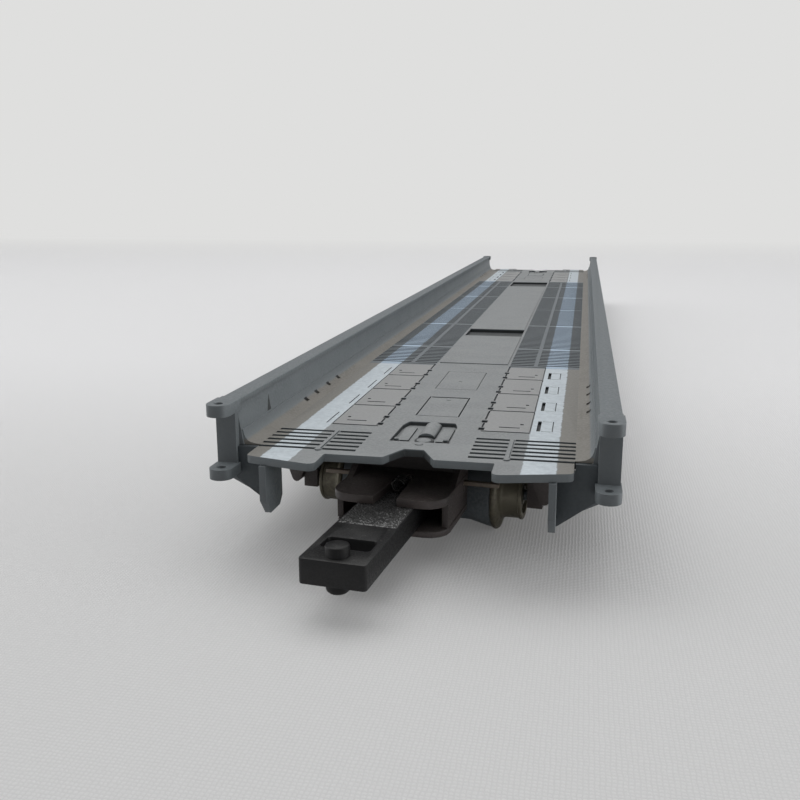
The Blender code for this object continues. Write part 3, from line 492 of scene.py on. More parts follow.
def rounded(corners: Outline, radii: list[float], steps: int = 6) -> Outline:
    """Return an outline whose corners are arcs.

    Args:
        corners: the outline's corners.
        radii: the radius at each corner, 0 for a sharp one.
        steps: how many straight lengths each arc has.

    Returns:
        The finished outline.
    """
    outline: Outline = []
    count = len(corners)
    for index, (corner, radius) in enumerate(zip(corners, radii)):
        here = Vector(corner)
        if radius <= 0:
            outline.append((here.x, here.y))
            continue
        back = (Vector(corners[index - 1]) - here).normalized()
        ahead = (Vector(corners[(index + 1) % count]) - here).normalized()
        half = back.angle(ahead) / 2
        centre = here + (back + ahead).normalized() * radius / math.sin(half)
        start = here + back * radius / math.tan(half) - centre
        finish = here + ahead * radius / math.tan(half) - centre
        turn = start.angle_signed(finish)
        for step in range(steps + 1):
            spot = centre + Matrix.Rotation(-turn * step / steps, 2) @ start
            outline.append((spot.x, spot.y))
    return outline


# Shading


def linear(red: int, green: int, blue: int) -> tuple[float, float, float, float]:
    """Turn a display colour from 0 to 255 into the linear colour that a shader takes.

    Args:
        red: the red share.
        green: the green share.
        blue: the blue share.

    Returns:
        Red, green, blue and full opacity.
    """
    parts = []
    for value in (red, green, blue):
        share = value / 255
        parts.append(share / 12.92 if share <= 0.04045 else ((share + 0.055) / 1.055) ** 2.4)
    return (*parts, 1.0)


Sockets = dict[str, tuple[str, float | tuple[float, ...]]]


class Shading:
    """A node tree that is being filled, of a material or of a group."""

    def __init__(self, tree: bpy.types.NodeTree) -> None:
        """Keep the tree."""
        self.tree = tree

    def node(self, kind: str, **values: object) -> bpy.types.Node:
        """Add a node and set its fields.

        Args:
            kind: the node's type, without the ShaderNode in front.
            **values: fields of the node.

        Returns:
            The new node.
        """
        made = self.tree.nodes.new("ShaderNode" + kind)
        for key, value in values.items():
            setattr(made, key, value)
        return made

    def feed(self, source: object, target: bpy.types.NodeSocket) -> None:
        """Give a socket a value, or link another socket to it.

        Args:
            source: a value, or a socket that puts one out.
            target: the socket that takes it.
        """
        if isinstance(source, bpy.types.NodeSocket):
            self.tree.links.new(source, target)
        else:
            target.default_value = source

    def split(self, source: object) -> bpy.types.Node:
        """Split a vector into X, Y and Z.

        Args:
            source: the vector.

        Returns:
            The node, with its three outputs.
        """
        made = self.node("SeparateXYZ")
        self.feed(source, made.inputs[0])
        return made

    def place(self) -> object:
        """Return the place on the piece, in its own frame."""
        return self.node("TexCoord").outputs["Object"]

    def facing(self) -> bpy.types.Node:
        """Return the direction that a face looks in, split into X, Y and Z."""
        return self.split(self.node("NewGeometry").outputs["Normal"])

    def product(self, *factors: object) -> object:
        """Multiply values one after another.

        Args:
            *factors: the values.

        Returns:
            Their product.
        """
        result = factors[0]
        for factor in factors[1:]:
            result = self.maths("MULTIPLY", result, factor)
        return result

    def rest(self, share: object) -> object:
        """Return one less a share."""
        return self.maths("SUBTRACT", 1.0, share)

    def maths(self, operation: str, first: object, second: object = 0.0, clamp: bool = False) -> object:
        """Add a Math node and return its result.

        Args:
            operation: the node's operation.
            first: its first value.
            second: its second value.
            clamp: whether the result is held between 0 and 1.

        Returns:
            The result.
        """
        made = self.node("Math", operation=operation, use_clamp=clamp)
        self.feed(first, made.inputs[0])
        self.feed(second, made.inputs[1])
        return made.outputs[0]

    def blend(self, share: object, first: object, second: object) -> object:
        """Mix two colours by a share and return the result.

        Args:
            share: how much of the second colour there is.
            first: the first colour.
            second: the second colour.

        Returns:
            The mixed colour.
        """
        made = self.node("Mix", data_type="RGBA")
        self.feed(share, made.inputs[0])
        self.feed(first, made.inputs[6])
        self.feed(second, made.inputs[7])
        return made.outputs[2]

    def ramp(self, value: object, low: float, high: float, floor: float = 0.0, top: float = 1.0) -> object:
        """Stretch a value between two limits onto a new range, with soft ends.

        Args:
            value: the value.
            low: the limit that gives floor.
            high: the limit that gives top.
            floor: the new value at low.
            top: the new value at high.

        Returns:
            The stretched value.
        """
        made = self.node("MapRange", interpolation_type="SMOOTHSTEP")
        self.feed(value, made.inputs["Value"])
        made.inputs["From Min"].default_value = low
        made.inputs["From Max"].default_value = high
        made.inputs["To Min"].default_value = floor
        made.inputs["To Max"].default_value = top
        return made.outputs["Result"]

    def noise(self, place: object, scale: object, detail: float = 3.0, roughness: float = 0.55) -> object:
        """Add a noise texture and return its value.

        Args:
            place: where the noise is read.
            scale: its scale.
            detail: how many layers it has.
            roughness: how strong the fine layers are.

        Returns:
            The value.
        """
        made = self.node("TexNoise")
        self.feed(place, made.inputs["Vector"])
        self.feed(scale, made.inputs["Scale"])
        made.inputs["Detail"].default_value = detail
        made.inputs["Roughness"].default_value = roughness
        return made.outputs["Fac"]


def new_group(
    name: str, inputs: Sockets, outputs: dict[str, str]
) -> tuple[Shading, bpy.types.Node, bpy.types.Node]:
    """Start a shader node group with named sockets.

    Args:
        name: the group's name.
        inputs: each input's type and default.
        outputs: each output's type.

    Returns:
        The shading of the group, its input node and its output node.
    """
    tree = bpy.data.node_groups.new(name, "ShaderNodeTree")
    for key, (kind, default) in inputs.items():
        socket = tree.interface.new_socket(key, in_out="INPUT", socket_type="NodeSocket" + kind)
        socket.default_value = default
    for key, kind in outputs.items():
        tree.interface.new_socket(key, in_out="OUTPUT", socket_type="NodeSocket" + kind)
    shading = Shading(tree)
    return shading, tree.nodes.new("NodeGroupInput"), tree.nodes.new("NodeGroupOutput")


def build_grain_group() -> bpy.types.NodeTree:
    """Build the group for a surface's fine grain and its larger blotches.

    Returns:
        The group.
    """
    inputs: Sockets = {"Grain Size": ("Float", 0.25), "Blotch Size": ("Float", 4.0)}
    outputs = {"Grain": "Float", "Blotches": "Float", "Height": "Float"}
    shading, given, result = new_group("surface_grain", inputs, outputs)
    place = shading.place()
    fine = shading.noise(place, shading.maths("DIVIDE", 1 / MM, given.outputs["Grain Size"]), 4.0, 0.6)
    broad = shading.noise(place, shading.maths("DIVIDE", 1 / MM, given.outputs["Blotch Size"]), 3.0, 0.5)
    shading.feed(shading.ramp(fine, 0.3, 0.7), result.inputs["Grain"])
    shading.feed(shading.ramp(broad, 0.35, 0.65), result.inputs["Blotches"])
    shading.feed(fine, result.inputs["Height"])
    return shading.tree


def build_edge_group() -> bpy.types.NodeTree:
    """Build the group that finds worn edges.

    Returns:
        The group.
    """
    inputs: Sockets = {"Radius": ("Float", 0.08), "Patchiness": ("Float", 0.5)}
    shading, given, result = new_group("edge_wear", inputs, {"Mask": "Float"})
    round_node = shading.node("Bevel", samples=4)
    shading.feed(shading.maths("MULTIPLY", given.outputs["Radius"], MM), round_node.inputs["Radius"])
    flat = shading.node("NewGeometry")
    dot = shading.node("VectorMath", operation="DOT_PRODUCT")
    shading.feed(round_node.outputs["Normal"], dot.inputs[0])
    shading.feed(flat.outputs["Normal"], dot.inputs[1])
    edge = shading.ramp(dot.outputs["Value"], 0.995, 0.86)
    place = shading.place()
    patches = shading.noise(place, 900.0, 3.0, 0.6)
    kept = shading.maths("SUBTRACT", 1.0, shading.maths("MULTIPLY", patches, given.outputs["Patchiness"]))
    shading.feed(shading.maths("MULTIPLY", edge, kept, True), result.inputs["Mask"])
    return shading.tree


def build_dust_group() -> bpy.types.NodeTree:
    """Build the group that puts specks and dust on upward faces.

    Returns:
        The group.
    """
    inputs: Sockets = {"Amount": ("Float", 0.2)}
    shading, given, result = new_group("settled_dust", inputs, {"Mask": "Float"})
    facing = shading.facing()
    upward = shading.ramp(facing.outputs["Z"], 0.5, 1.0)
    place = shading.place()
    specks = shading.ramp(shading.noise(place, 3200.0, 2.0, 0.7), 0.6, 0.75)
    veil = shading.ramp(shading.noise(place, 260.0, 3.0, 0.5), 0.4, 0.7, 0.0, 0.5)
    both = shading.maths("ADD", specks, veil, True)
    share = shading.maths("MULTIPLY", both, given.outputs["Amount"])
    shading.feed(shading.maths("MULTIPLY", share, upward, True), result.inputs["Mask"])
    return shading.tree


class Effects:
    """The shader node groups that the finishes share."""

    def __init__(self) -> None:
        """Build each group once."""
        self.grain = build_grain_group()
        self.edge = build_edge_group()
        self.dust = build_dust_group()

    @staticmethod
    def place(shading: Shading, group: bpy.types.NodeTree, **values: float) -> bpy.types.Node:
        """Put a group into a material.

        Args:
            shading: the material's shading.
            group: the group.
            **values: its inputs, with spaces written as underscores.

        Returns:
            The group's node.
        """
        made = shading.node("Group", node_tree=group)
        for key, value in values.items():
            made.inputs[key.replace("_", " ").title()].default_value = value
        return made


EDGE_RADIUS = 0.07
EDGE_PATCHINESS = 0.6
DUST_COLOUR = (205, 205, 200)


@dataclass(frozen=True)
class Finish:
    """A finish of paint, moulded plastic or metal.

    The colours are display colours from 0 to 255, and the sizes are millimetres.
    """

    name: str
    colour: tuple[int, int, int]
    shade: tuple[int, int, int]
    edge: tuple[int, int, int]
    roughness: tuple[float, float] = (0.5, 0.65)
    metallic: float = 0.0
    specular: float = 0.5
    grain: float = 0.25
    blotch: float = 4.0
    bump: float = 0.15
    bump_depth: float = 0.01
    wear: float = 0.5
    dust: float = 0.1

    def start(self, effects: Effects) -> tuple[bpy.types.Material, Shading, dict[str, object]]:
        """Build the material up to its base colour, roughness and height.

        Args:
            effects: the shared groups.

        Returns:
            The material, its shading, and its colour, roughness, height and shader.
        """
        material = bpy.data.materials.new(self.name)
        material.use_nodes = True
        shading = Shading(material.node_tree)
        shader = material.node_tree.nodes["Principled BSDF"]
        shader.inputs["Metallic"].default_value = self.metallic
        shader.inputs["Specular IOR Level"].default_value = self.specular
        grain = effects.place(shading, effects.grain, grain_size=self.grain, blotch_size=self.blotch)
        edge = effects.place(shading, effects.edge, radius=EDGE_RADIUS, patchiness=EDGE_PATCHINESS)
        dust = effects.place(shading, effects.dust, amount=self.dust)
        mottled = shading.maths("MULTIPLY", grain.outputs["Grain"], grain.outputs["Blotches"])
        colour = shading.blend(mottled, linear(*self.colour), linear(*self.shade))
        worn = shading.maths("MULTIPLY", edge.outputs["Mask"], self.wear)
        colour = shading.blend(worn, colour, linear(*self.edge))
        colour = shading.blend(dust.outputs["Mask"], colour, linear(*DUST_COLOUR))
        low, high = self.roughness
        rough = shading.ramp(grain.outputs["Grain"], 0.0, 1.0, low, high)
        parts = {"colour": colour, "roughness": rough, "height": grain.outputs["Height"], "shader": shader}
        return material, shading, parts

    def close(self, shading: Shading, parts: dict[str, object]) -> None:
        """Link the finished colour, roughness and height to the shader.

        Args:
            shading: the material's shading.
            parts: its colour, roughness, height and shader.
        """
        shader = parts["shader"]
        bump = shading.node("Bump")
        bump.inputs["Strength"].default_value = self.bump
        bump.inputs["Distance"].default_value = self.bump_depth * MM
        shading.feed(parts["height"], bump.inputs["Height"])
        shading.feed(bump.outputs["Normal"], shader.inputs["Normal"])
        shading.feed(parts["colour"], shader.inputs["Base Color"])
        shading.feed(parts["roughness"], shader.inputs["Roughness"])

    def vary(self, shading: Shading, parts: dict[str, object]) -> None:
        """Change the colour, roughness or height, where a kind of finish has something of its own."""

    def build(self, effects: Effects) -> bpy.types.Material:
        """Build the material.

        Args:
            effects: the shared groups.

        Returns:
            The material.
        """
        material, shading, parts = self.start(effects)
        self.vary(shading, parts)
        self.close(shading, parts)
        return material


@dataclass(frozen=True)
class EndShadedPaint(Finish):
    """Paint with painted shade: darker on the faces that look along the wagon, and on the faces that look up.
    """

    # painted shade colours for the faces that look along the wagon and for the faces that look up
    end_colour: tuple[int, int, int] = (86, 91, 94)
    top_colour: tuple[int, int, int] = (100, 106, 109)

    def vary(self, shading: Shading, parts: dict[str, object]) -> None:
        """Paint shade onto the ends and the tops by darkening their colour.

        Args:
            shading: the material's shading.
            parts: its colour, roughness, height and shader.
        """
        facing = shading.facing()
        # painted shade: faces that look along the wagon, then faces that look up, are darkened
        ends = shading.ramp(shading.maths("ABSOLUTE", facing.outputs["Y"]), 0.55, 0.9)
        parts["colour"] = shading.blend(ends, parts["colour"], linear(*self.end_colour))
        tops = shading.ramp(facing.outputs["Z"], 0.75, 0.97)
        parts["colour"] = shading.blend(tops, parts["colour"], linear(*self.top_colour))


@dataclass(frozen=True)
class FootPaint(Finish):
    """Paint that changes from the lane's colour to the wall's part of the way up the fillet."""

    wall: tuple[int, int, int] = (116, 122, 125)
    line_z: float = 10.52

    def vary(self, shading: Shading, parts: dict[str, object]) -> None:
        """Change the colour at the line up the fillet.

        Args:
            shading: the material's shading.
            parts: its colour, roughness, height and shader.
        """
        place = shading.place()
        split = shading.split(place)
        ragged = shading.maths("MULTIPLY", shading.noise(place, 900.0, 2.0, 0.6), 0.12 * MM)
        height = shading.maths("SUBTRACT", split.outputs["Z"], ragged)
        above = shading.ramp(height, (self.line_z - 0.16) * MM, (self.line_z + 0.08) * MM)
        parts["colour"] = shading.blend(above, parts["colour"], linear(*self.wall))


@dataclass(frozen=True)
class LanePaint(Finish):
    """The deck's paint, with a white stripe along each lane."""

    stripe: tuple[int, int, int] = (200, 208, 212)
    stripe_shade: tuple[int, int, int] = (176, 186, 194)
    # painted shade: the stripes' colour further from the end than bright_inset
    far_stripe: tuple[int, int, int] = (160, 178, 196)
    inner_x: float = 9.2
    outer_x: float = 11.85
    near_inset: float = 0.15
    bright_inset: float = 44.5
    half_length: float = 105.35
    top_z: float = 10.2
    # painted shade: the colour of the deck's faces that do not look up
    plastic: tuple[int, int, int] = (92, 98, 101)
    outer_lane: tuple[int, int, int] = (124, 122, 117)
    lid: tuple[int, int, int] = (143, 144, 144)
    # painted shade over the far lanes, and where it starts across the deck
    far_lane: tuple[int, int, int] = (104, 110, 114)
    lid_x: Point = (4.75, 9.15)
    lid_start: float = 12.9
    far_shade_x: float = 4.65
    # painted shade in the grooves and below the deck's top: its colour, share, start and reach; the hatch floor
    # stays unshaded
    wash: tuple[int, int, int] = (40, 44, 45)
    wash_share: float = 0.9
    wash_start: float = 4.1
    wash_x: float = 13.7
    unshaded_x: float = 2.7
    unshaded_end: float = 15.3

    def steps(self, shading: Shading, value: object, edge: float, softness: float = 0.06) -> object:
        """Return 1 where a length is above an edge, and 0 below it."""
        return shading.ramp(value, (edge - softness) * MM, (edge + softness) * MM)

    def vary(self, shading: Shading, parts: dict[str, object]) -> None:
        """Lay the lanes, the stripes and the painted shade over the base colour.

        Args:
            shading: the material's shading.
            parts: its colour, roughness, height and shader.
        """
        place = shading.place()
        split = shading.split(place)
        rough_edge = shading.noise(place, 1800.0, 2.0, 0.7)
        wander = shading.maths("MULTIPLY", shading.maths("SUBTRACT", rough_edge, 0.5), 0.35 * MM)
        across = shading.maths("ADD", shading.maths("ABSOLUTE", split.outputs["X"]), wander)
        along = shading.maths("ADD", shading.maths("ABSOLUTE", split.outputs["Y"]), wander)
        soft = 0.05 * MM
        inside = shading.ramp(across, self.inner_x * MM - soft, self.inner_x * MM + soft)
        outside = shading.ramp(across, self.outer_x * MM + soft, self.outer_x * MM - soft)
        last = (self.half_length - self.near_inset) * MM
        ended = shading.ramp(along, last + soft, last - soft)
        facing = shading.facing()
        upward = shading.ramp(facing.outputs["Z"], 0.35, 0.75)
        parts["colour"] = self.paint(shading, parts["colour"], split, upward, across)
        thin = shading.ramp(rough_edge, 0.3, 0.8, 1.0, 0.82)
        on_top = self.steps(shading, split.outputs["Z"], self.top_z - 0.09)
        band = shading.product(inside, outside, ended, upward, thin, on_top)
        # beyond bright_inset the stripes take painted shade
        bright = (self.half_length - self.bright_inset) * MM
        near = shading.ramp(along, bright - soft, bright + soft)
        white = shading.blend(rough_edge, linear(*self.stripe), linear(*self.stripe_shade))
        white = shading.blend(near, linear(*self.far_stripe), white)
        parts["colour"] = shading.blend(band, parts["colour"], white)

    def paint(
        self, shading: Shading, colour: object, split: bpy.types.Node, upward: object, across: object
    ) -> object:
        """Return the deck's colour with painted shade on faces that do not look up, its lids, its outer lanes,
        painted shade over the far lanes and painted shade in its grooves.

        Args:
            shading: the material's shading.
            colour: the colour of the painted top.
            split: the node that holds the place's X, Y and Z.
            upward: 1 on faces that look up.
            across: the distance from the middle line.

        Returns:
            The new colour.
        """
        along = shading.maths("ABSOLUTE", split.outputs["Y"])
        near = self.steps(shading, along, self.half_length - self.bright_inset)
        first, last = (self.steps(shading, across, edge) for edge in self.lid_x)
        lids = shading.maths("MULTIPLY", shading.maths("SUBTRACT", first, last), near)
        before_lids = self.steps(shading, along, self.half_length - self.lid_start)
        lids = shading.maths("SUBTRACT", lids, before_lids, True)
        colour = shading.blend(lids, colour, linear(*self.lid))
        lane = self.steps(shading, across, self.outer_x + 0.05)
        colour = shading.blend(lane, colour, linear(*self.outer_lane))
        # painted shade over the lanes further from the end than bright_inset
        far_lane_shade_mask = shading.product(self.steps(shading, across, self.far_shade_x), shading.rest(near))
        colour = shading.blend(far_lane_shade_mask, colour, linear(*self.far_lane))
        # painted shade on every face that does not look up
        colour = shading.blend(upward, linear(*self.plastic), colour)
        # painted shade on faces below the deck's top, away from the ends and walls and off the hatch floor
        below = shading.rest(self.steps(shading, split.outputs["Z"], self.top_z - 0.1, 0.04))
        inner = shading.rest(self.steps(shading, along, self.half_length - self.wash_start))
        narrow = shading.rest(self.steps(shading, across, self.wash_x))
        hatch = shading.rest(self.steps(shading, across, self.unshaded_x))
        hatch = shading.product(hatch, self.steps(shading, along, self.half_length - self.unshaded_end))
        unshaded = shading.rest(shading.product(hatch, upward))
        groove_shade_mask = shading.product(below, inner, narrow, unshaded, self.wash_share)
        return shading.blend(groove_shade_mask, colour, linear(*self.wash))


@dataclass(frozen=True)
class GrittyPlastic(Finish):
    """Moulded plastic whose top is spark-eroded back to a crease, as on the drawbars."""

    crease_y: float = 10.0
    grit_size: float = 0.16

    def vary(self, shading: Shading, parts: dict[str, object]) -> None:
        """Raise the grit up to the crease.

        Args:
            shading: the material's shading.
            parts: its colour, roughness, height and shader.
        """
        place = shading.place()
        split = shading.split(place)
        crease = -self.crease_y * MM
        rough_zone = shading.ramp(split.outputs["Y"], crease - 0.1 * MM, crease + 0.1 * MM)
        grit = shading.noise(place, 1 / (self.grit_size * MM), 3.0, 0.7)
        pits = shading.ramp(grit, 0.35, 0.7)
        raised = shading.maths("MULTIPLY", shading.maths("MULTIPLY", pits, rough_zone), 6.0)
        parts["height"] = shading.maths("ADD", parts["height"], raised)


@dataclass(frozen=True)
class Cloth:
    """The pale woven cloth under the wagon."""

    name: str = "pale_cloth"
    # painted shade: the cloth's colour is darker near the camera than far from it
    near: tuple[int, int, int] = (202, 202, 202)
    far: tuple[int, int, int] = (230, 230, 231)
    backdrop: tuple[int, int, int] = (223, 223, 222)
    # painted light: the glow's colour near the camera, and its share there
    near_fill: tuple[int, int, int] = (205, 205, 205)
    fill: float = 0.13
    thread: float = 0.3

    def build(self) -> bpy.types.Material:
        """Build the material.

        Returns:
            The material.
        """
        material = bpy.data.materials.new(self.name)
        material.use_nodes = True
        shading = Shading(material.node_tree)
        shader = material.node_tree.nodes["Principled BSDF"]
        shader.inputs["Roughness"].default_value = 0.9
        shader.inputs["Specular IOR Level"].default_value = 0.1
        place = shading.place()
        bands = []
        for axis in ("X", "Y"):
            wave = shading.node("TexWave", bands_direction=axis)
            shading.feed(place, wave.inputs["Vector"])
            wave.inputs["Scale"].default_value = 1 / (self.thread * MM) / 3.18
            wave.inputs["Distortion"].default_value = 2.4
            wave.inputs["Detail"].default_value = 2.0
            bands.append(wave.outputs["Fac"])
        weave = shading.maths("MULTIPLY", bands[0], bands[1])
        slub = shading.noise(place, 700.0, 3.0, 0.6)
        height = shading.maths("ADD", weave, shading.maths("MULTIPLY", slub, 0.6))
        bump = shading.node("Bump")
        bump.inputs["Strength"].default_value = 0.7
        bump.inputs["Distance"].default_value = 0.04 * MM
        shading.feed(height, bump.inputs["Height"])
        shading.feed(bump.outputs["Normal"], shader.inputs["Normal"])
        split = shading.split(place)
        # painted shade: the colour darkens towards the camera
        distance = shading.ramp(split.outputs["Y"], -0.15, 0.0)
        colour = shading.blend(distance, linear(*self.near), linear(*self.far))
        # painted shade between the threads of the weave
        gap_shade = shading.maths("MULTIPLY", shading.ramp(weave, 0.25, 0.0), 0.12)
        colour = shading.blend(gap_shade, colour, linear(120, 120, 120))
        shading.feed(colour, shader.inputs["Base Color"])
        # painted light: camera rays see part of the cloth as a flat glow, which lifts the shadows near the
        # wagon; further back the glow takes over and makes the backdrop evenly bright
        painted_glow = shading.node("Emission")
        plain = shading.blend(distance, linear(*self.near_fill), linear(*self.backdrop))
        shading.feed(plain, painted_glow.inputs["Color"])
        seen = shading.node("LightPath").outputs["Is Camera Ray"]
        risen = shading.ramp(split.outputs["Y"], 0.2, 0.58, self.fill, 1.0)
        mix = shading.node("MixShader")
        shading.feed(shading.maths("MULTIPLY", seen, risen), mix.inputs[0])
        shading.feed(shader.outputs[0], mix.inputs[1])
        shading.feed(painted_glow.outputs[0], mix.inputs[2])
        shading.feed(mix.outputs[0], material.node_tree.nodes["Material Output"].inputs["Surface"])
        return material


class Palette:
    """Every finish on the wagon, built once."""

    def __init__(self) -> None:
        """Build the materials."""
        effects = Effects()
        # the deck's paint carries painted shade on its side faces, over its far lanes and far stripes, and in
        # its grooves
        self.deck = LanePaint(
            "deck_paint", (132, 135, 136), (123, 126, 127), (165, 168, 168), roughness=(0.5, 0.62),
            bump=0.2, wear=0.45, dust=0.06,
        ).build(effects)
        # the girder's paint carries painted shade on its ends and its tops
        self.girder = EndShadedPaint(
            "girder_paint", (118, 124, 127), (110, 116, 119), (144, 150, 152), roughness=(0.5, 0.62),
            bump=0.2, wear=0.6, dust=0.05,
        ).build(effects)
        self.foot = FootPaint(
            "wall_foot_paint", (126, 123, 117), (114, 111, 105), (150, 148, 144), roughness=(0.5, 0.62),
            bump=0.2, wear=0.3, dust=0.05,
        ).build(effects)
        self.pin = Finish(
            "pin_plastic", (9, 9, 10), (7, 7, 8), (34, 34, 34), roughness=(0.4, 0.55), specular=0.3,
            bump=0.3, dust=0.04,
        ).build(effects)
        # painted shade: a darker paint for the webs
        self.web = Finish(
            "shaded_girder_paint", (58, 64, 68), (50, 56, 60), (112, 118, 121), roughness=(0.5, 0.62),
            bump=0.2, wear=0.7, dust=0.03,
        ).build(effects)
        # painted highlight: a lighter colour for the lit top of the bars beside the coupler pocket
        self.shelf = Finish(
            "worn_bogie_plastic", (122, 110, 98), (100, 90, 80), (150, 138, 124), roughness=(0.4, 0.55),
            dust=0.1,
        ).build(effects)
        self.underframe = Finish(
            "underframe_paint", (70, 73, 76), (60, 63, 66), (96, 99, 102), roughness=(0.55, 0.7), dust=0.08,
        ).build(effects)
        # painted shade: a dark colour for pieces set in hollows, holes and the notch
        self.groove = Finish(
            "groove_wash", (62, 64, 65), (54, 56, 57), (88, 90, 90), roughness=(0.6, 0.75), dust=0.0,
        ).build(effects)
        self.bogie = Finish(
            "bogie_plastic", (74, 67, 65), (60, 55, 54), (124, 114, 106), roughness=(0.38, 0.55),
            grain=0.18, bump=0.3, wear=0.5, dust=0.1,
        ).build(effects)
        self.drawbar = GrittyPlastic(
            "drawbar_plastic", (18, 18, 19), (14, 14, 15), (54, 54, 54), roughness=(0.4, 0.58),
            specular=0.35, grain=0.15, bump=0.35, bump_depth=0.02, wear=0.45, dust=0.08,
        ).build(effects)
        self.grit = Finish(
            "eroded_plastic", (74, 74, 74), (44, 44, 44), (150, 150, 150), roughness=(0.2, 0.32),
            specular=0.7, grain=0.12, bump=0.3, bump_depth=0.02, wear=0.3, dust=0.04,
        ).build(effects)
        self.tyre = Finish(
            "wheel_tread", (112, 107, 92), (84, 80, 69), (158, 152, 136), roughness=(0.3, 0.5),
            metallic=0.4, grain=0.3, bump=0.2, dust=0.1,
        ).build(effects)
        self.axle = Finish(
            "axle_steel", (114, 120, 124), (92, 98, 102), (140, 144, 146), roughness=(0.3, 0.45),
            metallic=0.1, bump=0.15, dust=0.05,
        ).build(effects)
        self.steel = Finish(
            "bright_steel", (190, 186, 178), (150, 146, 140), (220, 216, 208), roughness=(0.2, 0.38),
            metallic=1.0, bump=0.1, dust=0.02,
        ).build(effects)
        # steel much darker than the bright steel, for the centring coil
        self.spring = Finish(
            "blackened_steel", (74, 74, 72), (50, 50, 50), (150, 148, 142), roughness=(0.25, 0.4),
            metallic=0.9, bump=0.1, dust=0.0,
        ).build(effects)
        self.ballast = Finish(
            "ballast_steel", (110, 110, 112), (84, 84, 86), (150, 150, 150), roughness=(0.4, 0.6),
            metallic=0.9, dust=0.05,
        ).build(effects)


def dress(thing: bpy.types.Object, material: bpy.types.Material) -> bpy.types.Object:
    """Give a piece one material.

    Args:
        thing: the piece.
        material: the material.

    Returns:
        The same piece.
    """
    thing.data.materials.clear()
    thing.data.materials.append(material)
    return thing


def settle(
    thing: bpy.types.Object,
    material: bpy.types.Material,
    body: str,
    nodes: tuple[str, ...] = (),
    home: Matrix | None = None,
) -> bpy.types.Object:
    """Put a finished piece in its place on the wagon.

    Args:
        thing: the piece, in millimetres.
        material: its finish.
        body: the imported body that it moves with.
        nodes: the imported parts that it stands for.
        home: the matrix from the piece's own frame to the wagon's, in metres.

    Returns:
        The placed piece.
    """
    thing.data.transform(Matrix.Scale(MM, 4))
    dress(thing, material)
    if home is not None:
        thing.matrix_world = home
    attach(thing, body)
    if nodes:
        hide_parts(*nodes)
    LOG.info("%s rides on %s", thing.name, body)
    return thing


# The wagon

Knob = tuple[str, list[Point], int, list[Point]]

BOLT_PLACES: list[Point] = [(-2.2, 9.05), (2.12, 9.25)]
NUB = [(0.0, -0.1), (0.26, -0.1), (0.26, 0.1), (0.2, 0.16), (0.0, 0.18)]
COLLAR = [(0.0, -0.1), (0.36, -0.1), (0.36, 0.05), (0.3, 0.09), (0.1, 0.09), (0.0, 0.02)]
LIP = [(0.0, -0.4), (0.62, -0.4), (0.62, -0.02), (0.55, 0.03), (0.0, 0.05)]
BOLT = [(0.0, -0.4), (0.2, -0.4), (0.2, -0.02), (0.13, 0.06), (0.0, 0.07)]
CATCH = [(0.0, -0.05), (0.26, -0.05), (0.26, 0.03), (0.18, 0.07), (0.0, 0.08)]
STUD = [(0.0, -0.05), (0.2, -0.05), (0.2, 0.02), (0.12, 0.06), (0.0, 0.07)]
KNOBS: list[Knob] = [
    ("rib_nub", NUB, 20, [(-7.86, 4.1), (7.86, 4.1)]),
    ("hatch_collar", COLLAR, 24, [(0.12, 7.4)]),
    ("hatch_lip", LIP, 32, [(0.28, 8.85)]),
    ("hatch_bolt", BOLT, 16, BOLT_PLACES),
    ("hatch_catch", CATCH, 16, [(0.04, 24.8)]),
    ("panel_stud", STUD, 16, [(-0.1, 34.6)]),
]
# dark rings that paint the shade round the hatch lip and the bolts
LIP_RING = [(0.0, -0.41), (0.86, -0.41), (0.86, -0.1), (0.8, -0.06), (0.0, -0.06)]
BOLT_RING = [(0.0, -0.41), (0.33, -0.41), (0.33, -0.2), (0.0, -0.2)]
SHADE_RINGS: list[Knob] = [
    ("lip_ring", LIP_RING, 32, [(0.28, 9.15)]),
    ("bolt_ring", BOLT_RING, 24, BOLT_PLACES),
]


